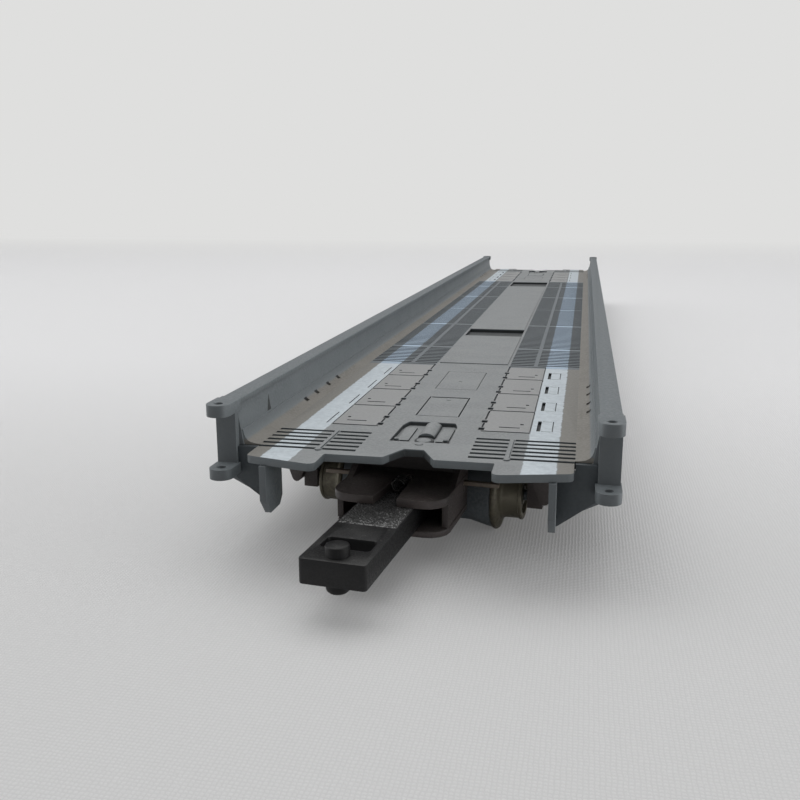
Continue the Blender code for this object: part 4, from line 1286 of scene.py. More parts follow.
@dataclass
class Deck:
    """The drive-on deck, with its gratings, hatches and lane stripes."""

    palette: Palette
    tongue_inner: float = 7.0
    tongue_outer: float = 13.2
    tongue_skew: float = 1.5
    tongue_root: float = 5.0
    tongue_radius: float = 0.6
    recess: float = 3.1
    notch_mouth: float = 2.1
    notch_floor: float = 0.84
    notch_depth: float = 5.8
    slot_count: int = 6
    slot_pitch: float = 1.14
    slot_width: float = 0.52
    first_slot: float = 4.5
    inner_slot: Point = (4.7, 7.62)
    outer_slot: Point = (8.1, 13.5)
    hatch_pitch: float = 8.05
    hatch_count: int = 4
    hatch_start: float = 12.9
    hatch_inner: float = 4.75
    hatch_outer: float = 9.15
    lane_start: float = 46.2
    lane_bar: float = 24.0
    lane_bar_width: float = 1.15
    bar_depth: float = 0.45
    through: float = 2.0
    thickness: float = 0.68
    centre_half: float = 4.35
    centre_plates: tuple[Point, Point] = ((-59.2, -35.5), (-28.2, 46.5))
    front_gap: Point = (70.0, 77.0)
    rear_gap: Point = (46.3, 57.5)
    half_length: float = field(init=False)
    half_width: float = field(init=False)
    top: float = field(init=False)
    bottom: float = field(init=False)

    def __post_init__(self) -> None:
        """Take the deck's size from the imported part."""
        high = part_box("deck_plate")[1]
        self.half_length = high.y / MM
        self.half_width = high.x / MM
        self.top = high.z / MM
        self.bottom = self.top - self.thickness

    def outline(self) -> Outline:
        """Return the deck's outline from above.

        Returns:
            The outline.
        """
        quarter = [
            (self.notch_floor, self.notch_depth),
            (self.notch_mouth, self.recess),
            (self.tongue_inner, self.recess),
            (self.tongue_inner, 0.0),
            (self.tongue_outer, self.tongue_skew),
            (self.tongue_outer, self.tongue_root),
            (self.half_width, self.tongue_root),
        ]
        radii = [0.25, 0.25, 0.15, self.tongue_radius, self.tongue_radius, 0.2, 0.2]
        near = [(x, inset - self.half_length) for x, inset in quarter]
        corners = near + [(x, -y) for x, y in reversed(near)]
        corners += [(-x, -y) for x, y in near] + [(-x, y) for x, y in reversed(near)]
        return rounded(corners, radii + radii[::-1] + radii + radii[::-1])

    def groove(self, end: End, x: Point, inset: Point, depth: float) -> BoxCorners:
        """Return the box that cuts one groove into the deck's top.

        Args:
            end: the end that the inset is measured from; the rear end is the front turned round.
            x: the groove's two sides, as seen from its own end.
            inset: where it starts and ends.
            depth: how deep it is.

        Returns:
            The box's two corners.
        """
        return ordered(self.spot(end, x[0], inset[0], -depth), self.spot(end, x[1], inset[1], 1.0))

    def both_sides(self, end: End, x: Point, inset: Point, depth: float) -> list[BoxCorners]:
        """Return a groove and its mirror image on the other side."""
        return [self.groove(end, x, inset, depth), self.groove(end, (-x[0], -x[1]), inset, depth)]

    def crossing_cuts(self) -> list[BoxCorners]:
        """Return the cuts that run across the deck: slots, hatch ends and gaps.

        Returns:
            The boxes that are cut away.
        """
        cuts: list[BoxCorners] = []
        for end in End:
            for number in range(self.slot_count):
                middle = self.first_slot + number * self.slot_pitch
                inset = (middle - self.slot_width / 2, middle + self.slot_width / 2)
                cuts += self.both_sides(end, self.inner_slot, inset, self.through)
                cuts += self.both_sides(end, self.outer_slot, inset, self.through)
            for number in range(self.hatch_count + 1):
                start = self.hatch_start + number * self.hatch_pitch
                span = (self.hatch_inner, self.hatch_outer)
                cuts += self.both_sides(end, span, (start - 0.15, start + 0.15), 0.25)
            cuts.append(self.groove(end, (-1.95, 1.95), (25.7, 26.1), 0.3))
            cuts.append(self.groove(end, (-1.95, 1.95), (17.55, 17.67), 0.2))
            cuts.append(self.groove(end, (-2.2, 2.2), (30.2, 30.28), 0.12))
            cuts.append(self.groove(end, (-2.2, 2.2), (40.3, 40.38), 0.12))
        centre = (-self.centre_half, self.centre_half)
        cuts.append(self.groove(End.FRONT, centre, self.front_gap, self.bar_depth))
        cuts.append(self.groove(End.REAR, centre, self.rear_gap, self.bar_depth))
        middle = self.lane_start
        last = self.half_length
        while middle < last:
            if (middle - self.lane_start + self.lane_bar / 2) % self.lane_bar > self.lane_bar_width:
                inset = (middle - self.slot_width / 2, middle + self.slot_width / 2)
                for end in End:
                    cuts += self.both_sides(end, self.inner_slot, inset, self.bar_depth)
                    cuts += self.both_sides(end, self.outer_slot, inset, self.bar_depth)
            middle += self.slot_pitch
        return cuts

    def lengthwise_cuts(self) -> list[BoxCorners]:
        """Return the cuts that run along the deck: hatch sides, hinges and handles.

        Returns:
            The boxes that are cut away.
        """
        cuts: list[BoxCorners] = []
        for end in End:
            for number in range(self.hatch_count):
                start = self.hatch_start + number * self.hatch_pitch
                stop = start + self.hatch_pitch - 0.25
                inner = self.hatch_inner
                cuts += self.both_sides(end, (inner - 0.09, inner + 0.09), (start + 1.35, start + 2.95), 0.16)
                cuts += self.both_sides(end, (inner - 0.09, inner + 0.09), (start + 4.3, stop), 0.16)
                cuts += self.both_sides(end, (inner - 0.3, inner + 0.25), (start + 0.35, start + 1.2), 0.35)
                cuts += self.both_sides(end, (inner - 0.3, inner + 0.25), (start + 3.1, start + 3.95), 0.35)
                cuts += self.both_sides(end, (6.25, 8.15), (start + 1.52, start + 1.78), 0.2)
                cuts += self.both_sides(end, (8.1, 8.42), (start + 2.75, start + 3.1), 0.3)
                outer = self.hatch_outer
                cuts += self.both_sides(end, (outer - 0.05, outer + 0.05), (start + 0.2, stop), 0.12)
                cuts.append(self.groove(end, (9.68, 10.02), (start + 0.8, start + 4.5), 0.3))
                cuts.append(self.groove(end, (11.05, 11.15), (start + 0.8, start + 4.5), 0.12))
                cuts.append(self.groove(end, (10.1, 10.95), (start + 0.75, start + 0.85), 0.12))
                cuts.append(self.groove(end, (10.1, 10.95), (start + 4.4, start + 4.5), 0.12))
                cuts.append(self.groove(end, (-9.82, -9.7), (start + 0.3, start + 4.6), 0.15))
            for side in Side:
                cuts.append(self.groove(end, (side.value * 2.0, side.value * 2.14), (17.6, 26.1), 0.25))
                cuts.append(self.groove(end, (side.value * 2.25, side.value * 2.33), (30.2, 40.38), 0.12))
        return cuts

    def coupler_hatch(self, end: End) -> Outline:
        """Return the outline of the hollow under the hatch over the coupler.

        Args:
            end: the end of the deck.

        Returns:
            The outline, seen from above.
        """
        corners = [(-2.65, 8.1), (2.65, 8.1), (2.55, 13.6), (2.2, 15.1), (-2.2, 15.1), (-2.55, 13.6)]
        turned = [(-end.value * x, end.value * (self.half_length - inset)) for x, inset in corners]
        return rounded(turned, [0.15, 0.15, 0.3, 0.3, 0.3, 0.3])

    def spot(self, end: End, x: float, inset: float, z: float) -> Corner:
        """Return a point on the deck, counted from one end."""
        return (-end.value * x, end.value * (self.half_length - inset), self.top + z)

    def turned(self, end: End, knobs: list[Knob]) -> list[bpy.types.Object]:
        """Turn the round fittings near one end.

        Args:
            end: the end of the deck.
            knobs: each kind's name, profile, number of sides and (x, inset) places.

        Returns:
            The fittings, each in its place.
        """
        made = []
        for name, profile, steps, places in knobs:
            for x, inset in places:
                knob = lathe(name, profile, steps)
                made.append(moved(knob, Matrix.Translation(self.spot(end, x, inset, 0))))
        return made

    def fittings(self, end: End) -> list[bpy.types.Object]:
        """Build the small raised fittings near one end.

        Args:
            end: the end of the deck.

        Returns:
            The fittings.
        """
        made = self.turned(end, KNOBS)
        arch = []
        for step in range(17):
            angle = math.pi * step / 16
            arch.append((0.8 * math.cos(angle), self.top - 0.42 + 0.56 * math.sin(angle)))
        near, far = sorted(end.value * (self.half_length - inset) for inset in (10.6, 14.8))
        cover = soften(sweep("hatch_cover", arch, near, far), 0.09)
        made.append(moved(cover, Matrix.Translation((-end.value * 0.2, 0, 0))))
        for side in Side:
            x = side.value * 7.86
            rib = ordered(self.spot(end, x - 0.16, 4.05, -0.1), self.spot(end, x + 0.16, 10.35, 0.13))
            made.append(blocks("grating_rib", [rib], 0.05))
            x = side.value * 1.75
            shelf = ordered(self.spot(end, x - 0.55, 9.4, -0.42), self.spot(end, x + 0.55, 13.9, -0.24))
            made.append(blocks("hatch_shelf", [shelf], 0.06))
        return made

    def build(self) -> None:
        """Build the deck and dress it."""
        deck = plate("deck", [self.outline()], self.bottom, self.top, edge=0.05)
        cut(deck, blocks("crossing_cuts", self.crossing_cuts()))
        cut(deck, blocks("lengthwise_cuts", self.lengthwise_cuts()))
        for end in End:
            hollow = plate("hatch_hollow", [self.coupler_hatch(end)], self.top - 0.4, self.top + 1.0, edge=0.03)
            cut(deck, hollow)
        settle(smooth(deck, 0.5), self.palette.deck, "wagon", ("deck_plate",))
        for end in End:
            things = self.fittings(end)
            made = smooth(join(f"{end.word}_deck_fittings", things))
            settle(made, self.palette.deck, "wagon")
            self.build_wash(end)
        plates = []
        half = self.centre_half
        for low_y, high_y in self.centre_plates:
            plates.append(((-half, low_y, self.top - 0.1), (half, high_y, self.top + 0.1)))
        settle(blocks("centre_plates", plates, 0.04), self.palette.deck, "wagon")
        self.build_bosses()

    def build_wash(self, end: End) -> None:
        """Build the dark rings and the dark rim around the coupler hatch's fittings in its hollow, which paint
        the shade there.

        Args:
            end: the end of the deck.
        """
        rings = self.turned(end, SHADE_RINGS)
        wash = smooth(join(f"{end.word}_hatch_wash", rings))
        settle(wash, self.palette.groove, "wagon")

    def build_bosses(self) -> None:
        """Build the bosses under the deck that the tray screws go into."""
        low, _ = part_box("deck_plate")
        bosses = []
        for number in range(1, 5):
            corner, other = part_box(f"tray_screw_{number}")
            middle = (corner + other) / 2 / MM
            bottom, top = low.z / MM, self.bottom + 0.1
            profile = [(0.0, bottom), (1.4, bottom), (1.4, top), (0.0, top)]
            boss = lathe("tray_boss", profile, 32)
            bosses.append(moved(boss, Matrix.Translation((middle.x, middle.y, 0))))
        settle(smooth(join("tray_bosses", bosses)), self.palette.deck, "wagon")


@dataclass
class SideGirder:
    """One side girder with its fillet along the deck, its holes and its end lugs."""

    palette: Palette
    side: Side
    half_length: float
    deck_top: float
    end_inset: float = 4.9
    hole_insets: tuple[float, ...] = (21.25, 24.9, 29.3, 33.2)
    notch_inset: Point = (11.3, 12.25)
    notch_height: Point = (1.3, 2.75)

    def fillet_section(self) -> Outline:
        """Return the section of the fillet between the deck and the girder.

        Returns:
            The section's corners, as (x, z) points.
        """
        points = [
            (13.25, 0.0),
            (13.7, 0.03),
            (14.05, 0.11),
            (14.35, 0.27),
            (14.56, 0.52),
            (14.68, 0.86),
            (14.74, 1.2),
            (14.9, 1.2),
            (14.7, -0.1),
            (13.3, -0.1),
        ]
        return [(self.side.value * x, self.deck_top + z) for x, z in points]

    def wall_x(self, height: float) -> float:
        """Return where the wall's inner face lies at a height above the deck."""
        return 14.66 + 0.55 * height / 3.45

    def notches(self, start: float, stop: float, shrink: float) -> list[bpy.types.Object]:
        """Return three-cornered prisms, one for the notch at each end that has it on this side.

        Args:
            start: where the prism starts, outwards from the wall's inner face.
            stop: where it stops.
            shrink: how much smaller than the notch it is.

        Returns:
            The prisms.
        """
        made = []
        for end in End:
            if end.value * self.side.value < 0:
                continue
            far, near = (end.value * (self.half_length - inset) for inset in self.notch_inset)
            low, high = self.notch_height
            shape = bmesh.new()
            loops = []
            for shift in (start, stop):
                loop = []
                for y, z in ((far, low + shrink), (near, low + shrink), (near, high - shrink)):
                    x = self.side.value * (self.wall_x(z) + shift)
                    loop.append(shape.verts.new((x, y, self.deck_top + z)))
                loops.append(loop)
            for index in range(3):
                after = (index + 1) % 3
                shape.faces.new((loops[0][index], loops[0][after], loops[1][after], loops[1][index]))
            for loop in loops:
                shape.faces.new(loop)
            bmesh.ops.recalc_face_normals(shape, faces=shape.faces)
            made.append(shape_object("notch", shape))
        return made

    def holes(self, first_x: float, last_x: float, half: float, low: float, high: float) -> list[BoxCorners]:
        """Return a block at each small hole along the wall's foot.

        Args:
            first_x: where the block starts, from the middle line.
            last_x: where it stops.
            half: half its length.
            low: its bottom, above the deck.
            high: its top, above the deck.

        Returns:
            Each block's two corners.
        """
        x0, x1 = self.side.value * first_x, self.side.value * last_x
        found: list[BoxCorners] = []
        for end in End:
            for inset in self.hole_insets:
                y = end.value * (self.half_length - inset)
                first = (x0, y - half, self.deck_top + low)
                found.append(ordered(first, (x1, y + half, self.deck_top + high)))
        return found

    def build_webs(self) -> None:
        """Build the deep web between the fin and the post at each end, in a darker paint that paints the shade
        on it.
        """
        corners = [(11.85, 4.8), (12.0, 4.8), (15.3, 7.25), (15.3, 9.9), (14.9, 10.1), (13.3, 10.1)]
        corners += [(13.3, 9.4), (11.85, 9.4)]
        for end in End:
            near, far = sorted(end.value * (self.half_length - inset) for inset in (4.35, 4.8))
            outline = [(self.side.value * x, z) for x, z in corners]
            if self.side is Side.LEFT:
                outline = outline[::-1]
            web = plate(f"{end.word}_{self.side.word}_web", [outline], near, far, Plane.CROSSWISE, 0.04)
            settle(smooth(web, 0.5), self.palette.web, "wagon")

    def build_hole_shade(self) -> None:
        """Build dark pieces in the notch and in the holes, which paint the shade in them."""
        # painted shade: dark blocks and prisms set into the holes and the notch
        shade_pieces = [blocks("hole_shade", self.holes(14.42, 14.63, 0.4, 0.02, 0.43))]
        shade_pieces += self.notches(0.0, 0.28, 0.02)
        made = join(f"{self.side.word}_wall_marks", shade_pieces)
        settle(made, self.palette.groove, "wagon")

    def build(self) -> None:
        """Build the girder and dress it."""
        name = f"side_girder_{self.side.word}"
        girder = cad_copy(name, f"{self.side.word}_girder")
        for prism in self.notches(-0.5, 0.25, 0.0):
            cut(girder, prism)
        soften(girder, 0.06)
        settle(girder, self.palette.girder, "wagon", (name,))
        reach = self.half_length - self.end_inset
        fillet = sweep(f"{self.side.word}_fillet", self.fillet_section(), -reach, reach)
        cutter = blocks("holes", self.holes(14.1, 14.64, 0.42, 0.0, 0.45))
        cut(fillet, cutter)
        settle(smooth(fillet, 0.5), self.palette.foot, "wagon")
        self.build_hole_shade()
        self.build_webs()


@dataclass
class Underframe:
    """The tray, its ballast, the bolsters and the screws under the deck."""

    palette: Palette

    def build(self) -> None:
        """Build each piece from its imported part, with softer edges."""
        for end in End:
            bolster = soften(cad_copy(f"{end.word}_bolster", f"{end.word}_crossmember"), 0.05)
            settle(bolster, self.palette.underframe, "wagon", (f"{end.word}_bolster",))
            screw = soften(cad_copy(f"{end.word}_pivot_screw", f"{end.word}_slotted_screw"), 0.04)
            settle(screw, self.palette.steel, "wagon", (f"{end.word}_pivot_screw",))
        tray = soften(cad_copy("ballast_tray", "tray"), 0.08)
        settle(tray, self.palette.underframe, "wagon", ("ballast_tray",))
        dress(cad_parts["ballast_plate"], self.palette.ballast)
        for number in range(1, 5):
            self.build_tray_screw(number)

    def build_tray_screw(self, number: int) -> None:
        """Build one tray screw with a cross recess.

        Args:
            number: the screw's number.
        """
        node = f"tray_screw_{number}"
        low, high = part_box(node)
        middle = (low + high) / 2 / MM
        bottom = low.z / MM
        top = high.z / MM
        profile = [(0.0, bottom), (0.7, bottom), (0.95, bottom + 0.08), (1.1, bottom + 0.25)]
        profile += [(1.1, bottom + 0.5), (0.5, bottom + 0.5), (0.5, top), (0.0, top)]
        screw = lathe(f"cross_screw_{number}", profile, 32)
        moved(screw, Matrix.Translation((middle.x, middle.y, 0)))
        arm = 0.13
        reach = 0.55
        for x, y in ((arm, reach), (reach, arm)):
            low_corner = (middle.x - x, middle.y - y, bottom - 0.3)
            high_corner = (middle.x + x, middle.y + y, bottom + 0.25)
            cut(screw, blocks("cross_arm", [(low_corner, high_corner)]))
        settle(smooth(screw, 0.5), self.palette.steel, "wagon", (node,))


@dataclass
class Bogie:
    """One four-axle bogie with its coupler pocket, drawn with its pivot at the origin."""

    palette: Palette
    end: End
    pivot_y: float = 76.45
    yaw: float = math.radians(-5.7)
    axle_pitch: float = 8.05
    axle_count: int = 4
    axle_z: float = 3.4569
    flange_radius: float = 3.46
    tread_radius: float = 2.25
    back: float = 7.2
    width: float = 2.8
    crease: float = 28.4
    guard_bottom: float = 2.75
    grit_end: float = 19.5
    bar_head: float = -35.96
    bar_pivot: float = -17.7
    pocket_back: float = -18.4
    coil_radius: float = 0.5
    coil_wire: float = 0.11
    coil_turns: int = 4
    coil_z: float = 5.96

    def fit(
        self, thing: bpy.types.Object, material: bpy.types.Material, unit: str, slot: str, *nodes: str
    ) -> None:
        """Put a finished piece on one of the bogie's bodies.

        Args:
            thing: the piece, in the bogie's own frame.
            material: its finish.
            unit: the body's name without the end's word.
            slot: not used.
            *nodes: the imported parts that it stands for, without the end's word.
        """
        word = self.end.word
        names = tuple(f"{word}_{node}" for node in nodes)
        settle(thing, material, f"{word}_{unit}", names, self.home())

    def home(self) -> Matrix:
        """Return the matrix from the bogie's own frame to the wagon's, in metres.

        Returns:
            The matrix.
        """
        turn = self.yaw + (math.pi if self.end is End.REAR else 0.0)
        place = Matrix.Translation((0, self.end.value * self.pivot_y * MM, 0))
        return place @ Matrix.Rotation(turn, 4, "Z")

    def own_copy(self, node: str, name: str) -> bpy.types.Object:
        """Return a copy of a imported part, moved into the bogie's own frame.

        Args:
            node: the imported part's name.
            name: the copy's name.

        Returns:
            The copy, in millimetres.
        """
        thing = cad_copy(node, name)
        back = self.home().copy()
        back.translation /= MM
        return moved(thing, back.inverted())

    def build(self) -> None:
        """Build the bogie, its wheelsets and its coupler."""
        word = self.end.word
        chassis = self.own_copy(f"{word}_bogie_frame", f"{word}_frame")
        trims: list[BoxCorners] = []
        for side in Side:
            guard = (side.value * 11.95, 14.2, self.guard_bottom)
            trims.append(ordered((side.value * 10.3, -14.2, 1.5), guard))
            trims.append(ordered((side.value * 5.2, -16.8, 4.5), (side.value * 8.6, -15.8, 5.34)))
        cut(chassis, blocks("trims", trims))
        soften(chassis, 0.06)
        self.build_shelves()
        self.fit(chassis, self.palette.bogie, "bogie", "bogie", "bogie_frame")
        keeper = soften(self.own_copy(f"{word}_pocket_keeper", f"{word}_keeper"), 0.06)
        self.fit(keeper, self.palette.bogie, "bogie", "bogie", "pocket_keeper")
        self.build_side_detail()
        self.build_pivot_pin()
        self.build_spring()
        for index in range(self.axle_count):
            self.build_wheelset(index)
        self.build_drawbar()

    def build_shelves(self) -> None:
        """Build the thin bar that stands out on each side of the coupler pocket, in a lighter colour that
        paints a highlight on it.
        """
        bars: list[BoxCorners] = []
        for side in Side:
            bars.append(ordered((side.value * 4.9, -16.6, 5.33), (side.value * 8.3, -16.0, 5.7)))
        shelves = smooth(blocks(f"{self.end.word}_shelves", bars, 0.05))
        # painted highlight: the bars take the lighter shelf colour
        self.fit(shelves, self.palette.shelf, "bogie", "bogie")

    def build_side_detail(self) -> None:
        """Build the axle boxes, springs and bolts on the outside of the side beams."""
        made = []
        for side in Side:
            for index in range(self.axle_count):
                y = (index - 1.5) * self.axle_pitch
                box = ordered((side.value * 12.9, y - 1.3, 4.6), (side.value * 13.2, y + 1.3, 6.9))
                made.append(blocks("axle_box", [box], 0.1))
                cap = lathe("box_cap", [(0.0, 0.0), (0.75, 0.0), (0.75, 0.18), (0.6, 0.24), (0.0, 0.26)], 24)
                turn = Matrix.Rotation(side.value * math.pi / 2, 4, "Y")
                made.append(moved(cap, Matrix.Translation((side.value * 13.0, y, 5.6)) @ turn))
        detail = smooth(join(f"{self.end.word}_axle_boxes", made))
        self.fit(detail, self.palette.bogie, "bogie", "bogie")

    def build_pivot_pin(self) -> None:
        """Build the pin that the drawbar swings on."""
        low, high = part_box(f"{self.end.word}_drawbar_pivot_pin")
        bottom = low.z / MM
        top = high.z / MM
        profile = [(0.0, bottom), (1.0, bottom), (1.2, bottom + 0.12), (1.2, bottom + 0.4)]
        profile += [(0.7, bottom + 0.4), (0.7, top - 0.1), (0.6, top), (0.0, top)]
        pin = lathe(f"{self.end.word}_hinge_pin", profile, 32)
        moved(pin, Matrix.Translation((0, self.bar_pivot, 0)))
        self.fit(pin, self.palette.steel, "bogie", "fastener", "drawbar_pivot_pin")

    def build_spring(self) -> None:
        """Build the coil that centres the drawbar."""
        radius = self.coil_radius
        wire = self.coil_wire
        turns = self.coil_turns
        steps = 24
        start = self.pocket_back - 2 * wire
        length = turns * 4 * wire
        points: list[Corner] = []
        for step in range(turns * steps + 1):
            angle = 2 * math.pi * step / steps
            y = start - length * step / (turns * steps)
            points.append((radius * math.cos(angle), y, self.coil_z + radius * math.sin(angle)))
        coil = tube(f"{self.end.word}_coil", points, wire)
        self.fit(coil, self.palette.spring, "bogie", "fastener", "return_spring")

    def wheel_profile(self) -> list[Point]:
        """Return a wheel's section from its back to its face as (radius, distance) points.

        Returns:
            The points.
        """
        tread = self.tread_radius
        flange = self.flange_radius
        width = self.width
        return [
            (0.0, 0.0),
            (flange - 0.35, 0.0),
            (flange - 0.1, 0.08),
            (flange - 0.01, 0.24),
            (flange - 0.02, 0.4),
            (flange - 0.18, 0.6),
            (tread + 0.35, 0.78),
            (tread + 0.08, 0.95),
            (tread, 1.15),
            (tread - 0.03, width - 0.35),
            (tread + 0.08, width - 0.3),
            (tread + 0.08, width - 0.1),
            (tread - 0.02, width),
            (tread - 0.45, width),
            (tread - 0.5, width - 0.35),
            (0.95, width - 0.4),
            (0.85, width - 0.1),
            (0.55, width - 0.05),
            (0.0, width - 0.05),
        ]

    def build_wheelset(self, index: int) -> None:
        """Build one axle with its two wheels.

        Args:
            index: the axle's number, counted from 0.
        """
        word = self.end.word
        unit = f"wheelset_{index + 1}"
        tag = f"axle_{index + 1}"
        y = (index - 1.5) * self.axle_pitch
        centre = Matrix.Translation((0, y, self.axle_z))
        half = [(0.0, 11.2), (0.15, 11.2), (0.5, 10.7), (0.5, 7.25), (3.2, 7.25), (3.3, 7.15)]
        half += [(3.26, 6.9), (2.86, 5.2), (2.8, 5.0), (2.8, 3.5), (2.7, 3.4), (1.0, 3.4), (1.0, 3.2)]
        half += [(0.93, 3.1), (0.93, 2.9), (1.0, 2.8)]
        profile = half + [(radius, -x) for radius, x in reversed(half)]
        axle = lathe(f"{word}_{tag}_shaft", profile, 40)
        moved(axle, centre @ Matrix.Rotation(math.pi / 2, 4, "Y"))
        self.fit(axle, self.palette.axle, unit, "axle", tag)
        for side in Side:
            wheel = lathe(f"{word}_{tag}_{side.word}_tyre", self.wheel_profile(), 64)
            place = Matrix.Translation((side.value * self.back, 0, 0))
            turn = Matrix.Rotation(side.value * math.pi / 2, 4, "Y")
            moved(wheel, centre @ place @ turn)
            self.fit(wheel, self.palette.tyre, unit, "wheel", f"{tag}_wheel_{side.word}")

    def build_drawbar(self) -> None:
        """Build the drawbar with its eye, and the coupling pin in its head."""
        word = self.end.word
        low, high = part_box(f"{word}_drawbar")
        bottom = low.z / MM
        top = high.z / MM
        head = self.bar_head
        pivot = self.bar_pivot
        corners = [(-2.65, head), (2.65, head), (2.65, pivot + 1.2), (-2.65, pivot + 1.2)]
        outer = rounded(corners, [0.35, 0.35, 1.2, 1.2])
        eye_corners = [(-2.0, head + 2.6), (2.0, head + 2.6), (2.0, head + 4.6), (-2.0, head + 4.6)]
        eye = rounded(eye_corners, [0.35] * 4)
        holes = [eye, circle((0, pivot), 0.78, 32)]
        bar = plate(f"{word}_bar", [outer, *holes], bottom, top, edge=0.12)
        self.fit(smooth(bar, 0.6), self.palette.drawbar, "coupler", "drawbar", "drawbar")
        self.build_grit(top)
        profile = [
            (0.0, bottom - 0.85),
            (0.45, bottom - 0.85),
            (0.72, bottom - 0.78),
            (0.88, bottom - 0.62),
            (0.93, bottom - 0.4),
            (0.93, top + 0.72),
            (0.88, top + 0.81),
            (0.78, top + 0.85),
            (0.0, top + 0.85),
        ]
        pin = lathe(f"{word}_pin", profile, 48)
        moved(pin, Matrix.Translation((0, head + 1.3, 0)))
        self.fit(pin, self.palette.pin, "coupler", "drawbar", "coupling_pin")

    def build_grit(self, top: float) -> None:
        """Build the spark-eroded skin on the drawbar's top, from the crease back into the pocket.

        Args:
            top: the height of the drawbar's top.
        """
        front = -self.crease
        back = -self.grit_end
        columns = 110
        rows = 200
        shape = bmesh.new()
        grid = []
        for row in range(rows + 1):
            y = front + (back - front) * row / rows
            line = []
            for column in range(columns + 1):
                x = -2.5 + 5.0 * column / columns
                place = Vector((x * 6.5, y * 6.5, 3.7))
                lump = noise.noise(place) + 0.5 * noise.noise(place * 2.1)
                rim = min(column, columns - column, row, rows - row)
                height = 0.005 if rim < 2 else 0.045 + 0.1 * lump
                line.append(shape.verts.new((x, y, top + min(max(height, 0.004), 0.085))))
            grid.append(line)
        for first, second in zip(grid, grid[1:]):
            for column in range(columns):
                shape.faces.new((first[column], first[column + 1], second[column + 1], second[column]))
        right = [line[-1] for line in grid[1:-1]]
        left = [line[0] for line in grid[-2:0:-1]]
        edge = grid[0] + right + grid[-1][::-1] + left
        foot = [shape.verts.new((vert.co.x, vert.co.y, top - 0.06)) for vert in edge]
        for index in range(len(edge)):
            after = (index + 1) % len(edge)
            shape.faces.new((edge[index], foot[index], foot[after], edge[after]))
        shape.faces.new(foot[::-1])
        bmesh.ops.recalc_face_normals(shape, faces=shape.faces)
        grit = smooth(shape_object(f"{self.end.word}_grit", shape), 1.2)
        self.fit(grit, self.palette.grit, "coupler", "drawbar")


# The room


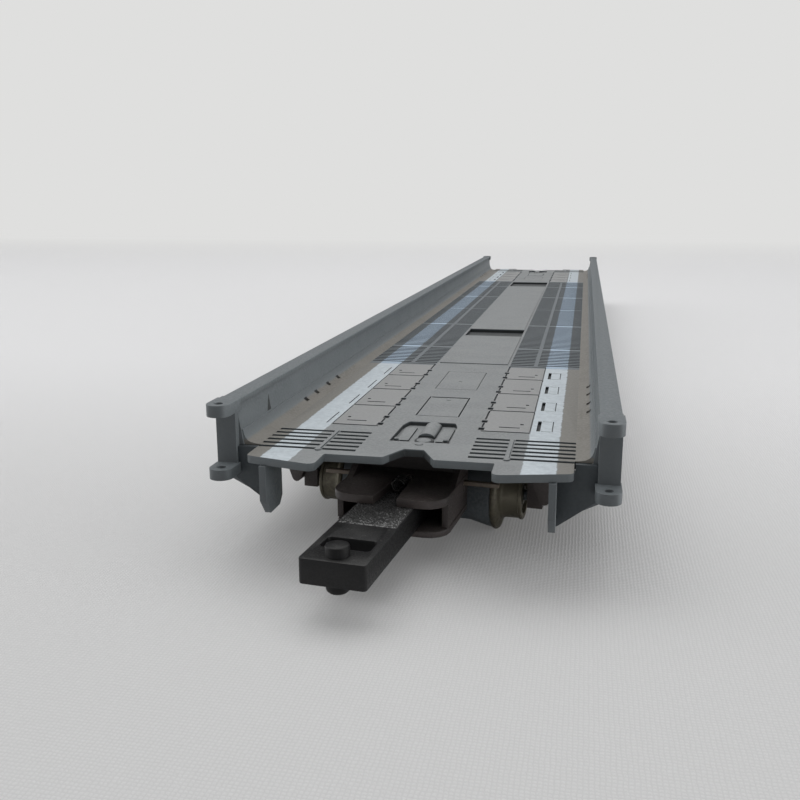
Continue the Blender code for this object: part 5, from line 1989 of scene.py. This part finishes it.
@dataclass(frozen=True)
class Studio:
    """The cloth, the lights and the camera.

    The lamp's place and size are metres, and angles are radians.
    """

    camera_place: Corner = (13.251, -168.223, 30.325)
    yaw: float = -0.2066
    pitch: float = 0.2230
    roll: float = -0.0030
    focal_share: float = 871.15 / 800
    sensor: float = 36.0
    sheet_end: float = 590.0
    sheet_bend: float = 16.0
    sheet_height: float = 900.0
    sheet_half: float = 1500.0
    lamp_place: Corner = (-0.12, 0.1, 0.8)
    lamp_size: Point = (0.9, 0.7)
    lamp_power: float = 2.3
    low_light: float = 2.1
    high_light: float = 0.9
    front_share: float = 0.12
    room: tuple[int, int, int] = (223, 223, 222)

    def build_sheet(self) -> None:
        """Build the cloth, which rises behind the wagon in one sweep."""
        line: list[Point] = [(-700.0, 0.0), (self.sheet_end, 0.0)]
        for step in range(1, 13):
            angle = math.pi / 2 * step / 12
            y = self.sheet_end + self.sheet_bend * math.sin(angle)
            line.append((y, self.sheet_bend * (1 - math.cos(angle))))
        line.append((self.sheet_end + self.sheet_bend, self.sheet_height))
        shape = bmesh.new()
        rows = []
        for y, z in line:
            rows.append([shape.verts.new((side * self.sheet_half, y, z)) for side in (-1, 1)])
        for first, second in zip(rows, rows[1:]):
            shape.faces.new((first[0], first[1], second[1], second[0]))
        sheet = shape_object("cloth_sheet", shape)
        sheet.data.transform(Matrix.Scale(MM, 4))
        sheet.data.shade_smooth()
        dress(sheet, Cloth().build())

    def build_lights(self) -> None:
        """Build a broad lamp above and an even pale surround."""
        lamp_data = bpy.data.lights.new("broad_lamp", "AREA")
        lamp_data.shape = "RECTANGLE"
        lamp_data.size, lamp_data.size_y = self.lamp_size
        lamp_data.energy = self.lamp_power
        lamp = bpy.data.objects.new("broad_lamp", lamp_data)
        bpy.context.scene.collection.objects.link(lamp)
        lamp.location = self.lamp_place
        lamp.rotation_euler = (Vector((0, 0, 0)) - lamp.location).to_track_quat("-Z", "Y").to_euler()
        world = bpy.data.worlds.new("pale_room")
        bpy.context.scene.world = world
        world.use_nodes = True
        background = world.node_tree.nodes["Background"]
        shading = Shading(world.node_tree)
        split = shading.split(shading.node("TexCoord").outputs["Generated"])
        height = shading.ramp(split.outputs["Z"], -0.1, 0.75, self.low_light, self.high_light)
        front = shading.ramp(split.outputs["Y"], -0.75, -0.1, self.front_share, 1.0)
        overhead = shading.ramp(split.outputs["Z"], 0.4, 0.9)
        front = shading.maths("MAXIMUM", front, overhead)
        shading.feed(shading.maths("MULTIPLY", height, front), background.inputs["Strength"])
        background.inputs["Color"].default_value = (1.0, 1.0, 1.0, 1.0)
        plain = shading.node("Background")
        plain.inputs["Color"].default_value = linear(*self.room)
        mix = shading.node("MixShader")
        shading.feed(shading.node("LightPath").outputs["Is Camera Ray"], mix.inputs[0])
        shading.feed(background.outputs[0], mix.inputs[1])
        shading.feed(plain.outputs[0], mix.inputs[2])
        shading.feed(mix.outputs[0], world.node_tree.nodes["World Output"].inputs["Surface"])

    def build_camera(self) -> None:
        """Build the camera."""
        data = bpy.data.cameras.new("camera")
        data.sensor_width = self.sensor
        data.sensor_height = self.sensor
        data.sensor_fit = "HORIZONTAL"
        data.lens = self.focal_share * self.sensor
        data.clip_start = 0.005
        data.clip_end = 20.0
        camera = bpy.data.objects.new("camera", data)
        bpy.context.scene.collection.objects.link(camera)
        ahead = Vector(
            (
                math.sin(self.yaw) * math.cos(self.pitch),
                math.cos(self.yaw) * math.cos(self.pitch),
                -math.sin(self.pitch),
            )
        )
        right = Vector((math.cos(self.yaw), -math.sin(self.yaw), 0.0))
        up = right.cross(ahead)
        tilted_right = math.cos(self.roll) * right + math.sin(self.roll) * up
        tilted_up = math.cos(self.roll) * up - math.sin(self.roll) * right
        turn = Matrix((tilted_right, tilted_up, -ahead)).transposed().to_4x4()
        camera.matrix_world = Matrix.Translation(Vector(self.camera_place) * MM) @ turn
        bpy.context.scene.camera = camera

    def build(self) -> None:
        """Build the whole room."""
        self.build_sheet()
        self.build_lights()
        self.build_camera()
        bpy.context.scene.view_settings.view_transform = "Standard"


def main() -> None:
    """Build the room and the wagon, and report each piece."""
    logging.basicConfig(level=logging.INFO, format="%(message)s")
    Studio().build()
    palette = Palette()
    deck = Deck(palette)
    deck.build()
    for side in Side:
        SideGirder(palette, side, deck.half_length, deck.top).build()
    Underframe(palette).build()
    for end in End:
        Bogie(palette, end).build()


if __name__ == "__main__":
    main()
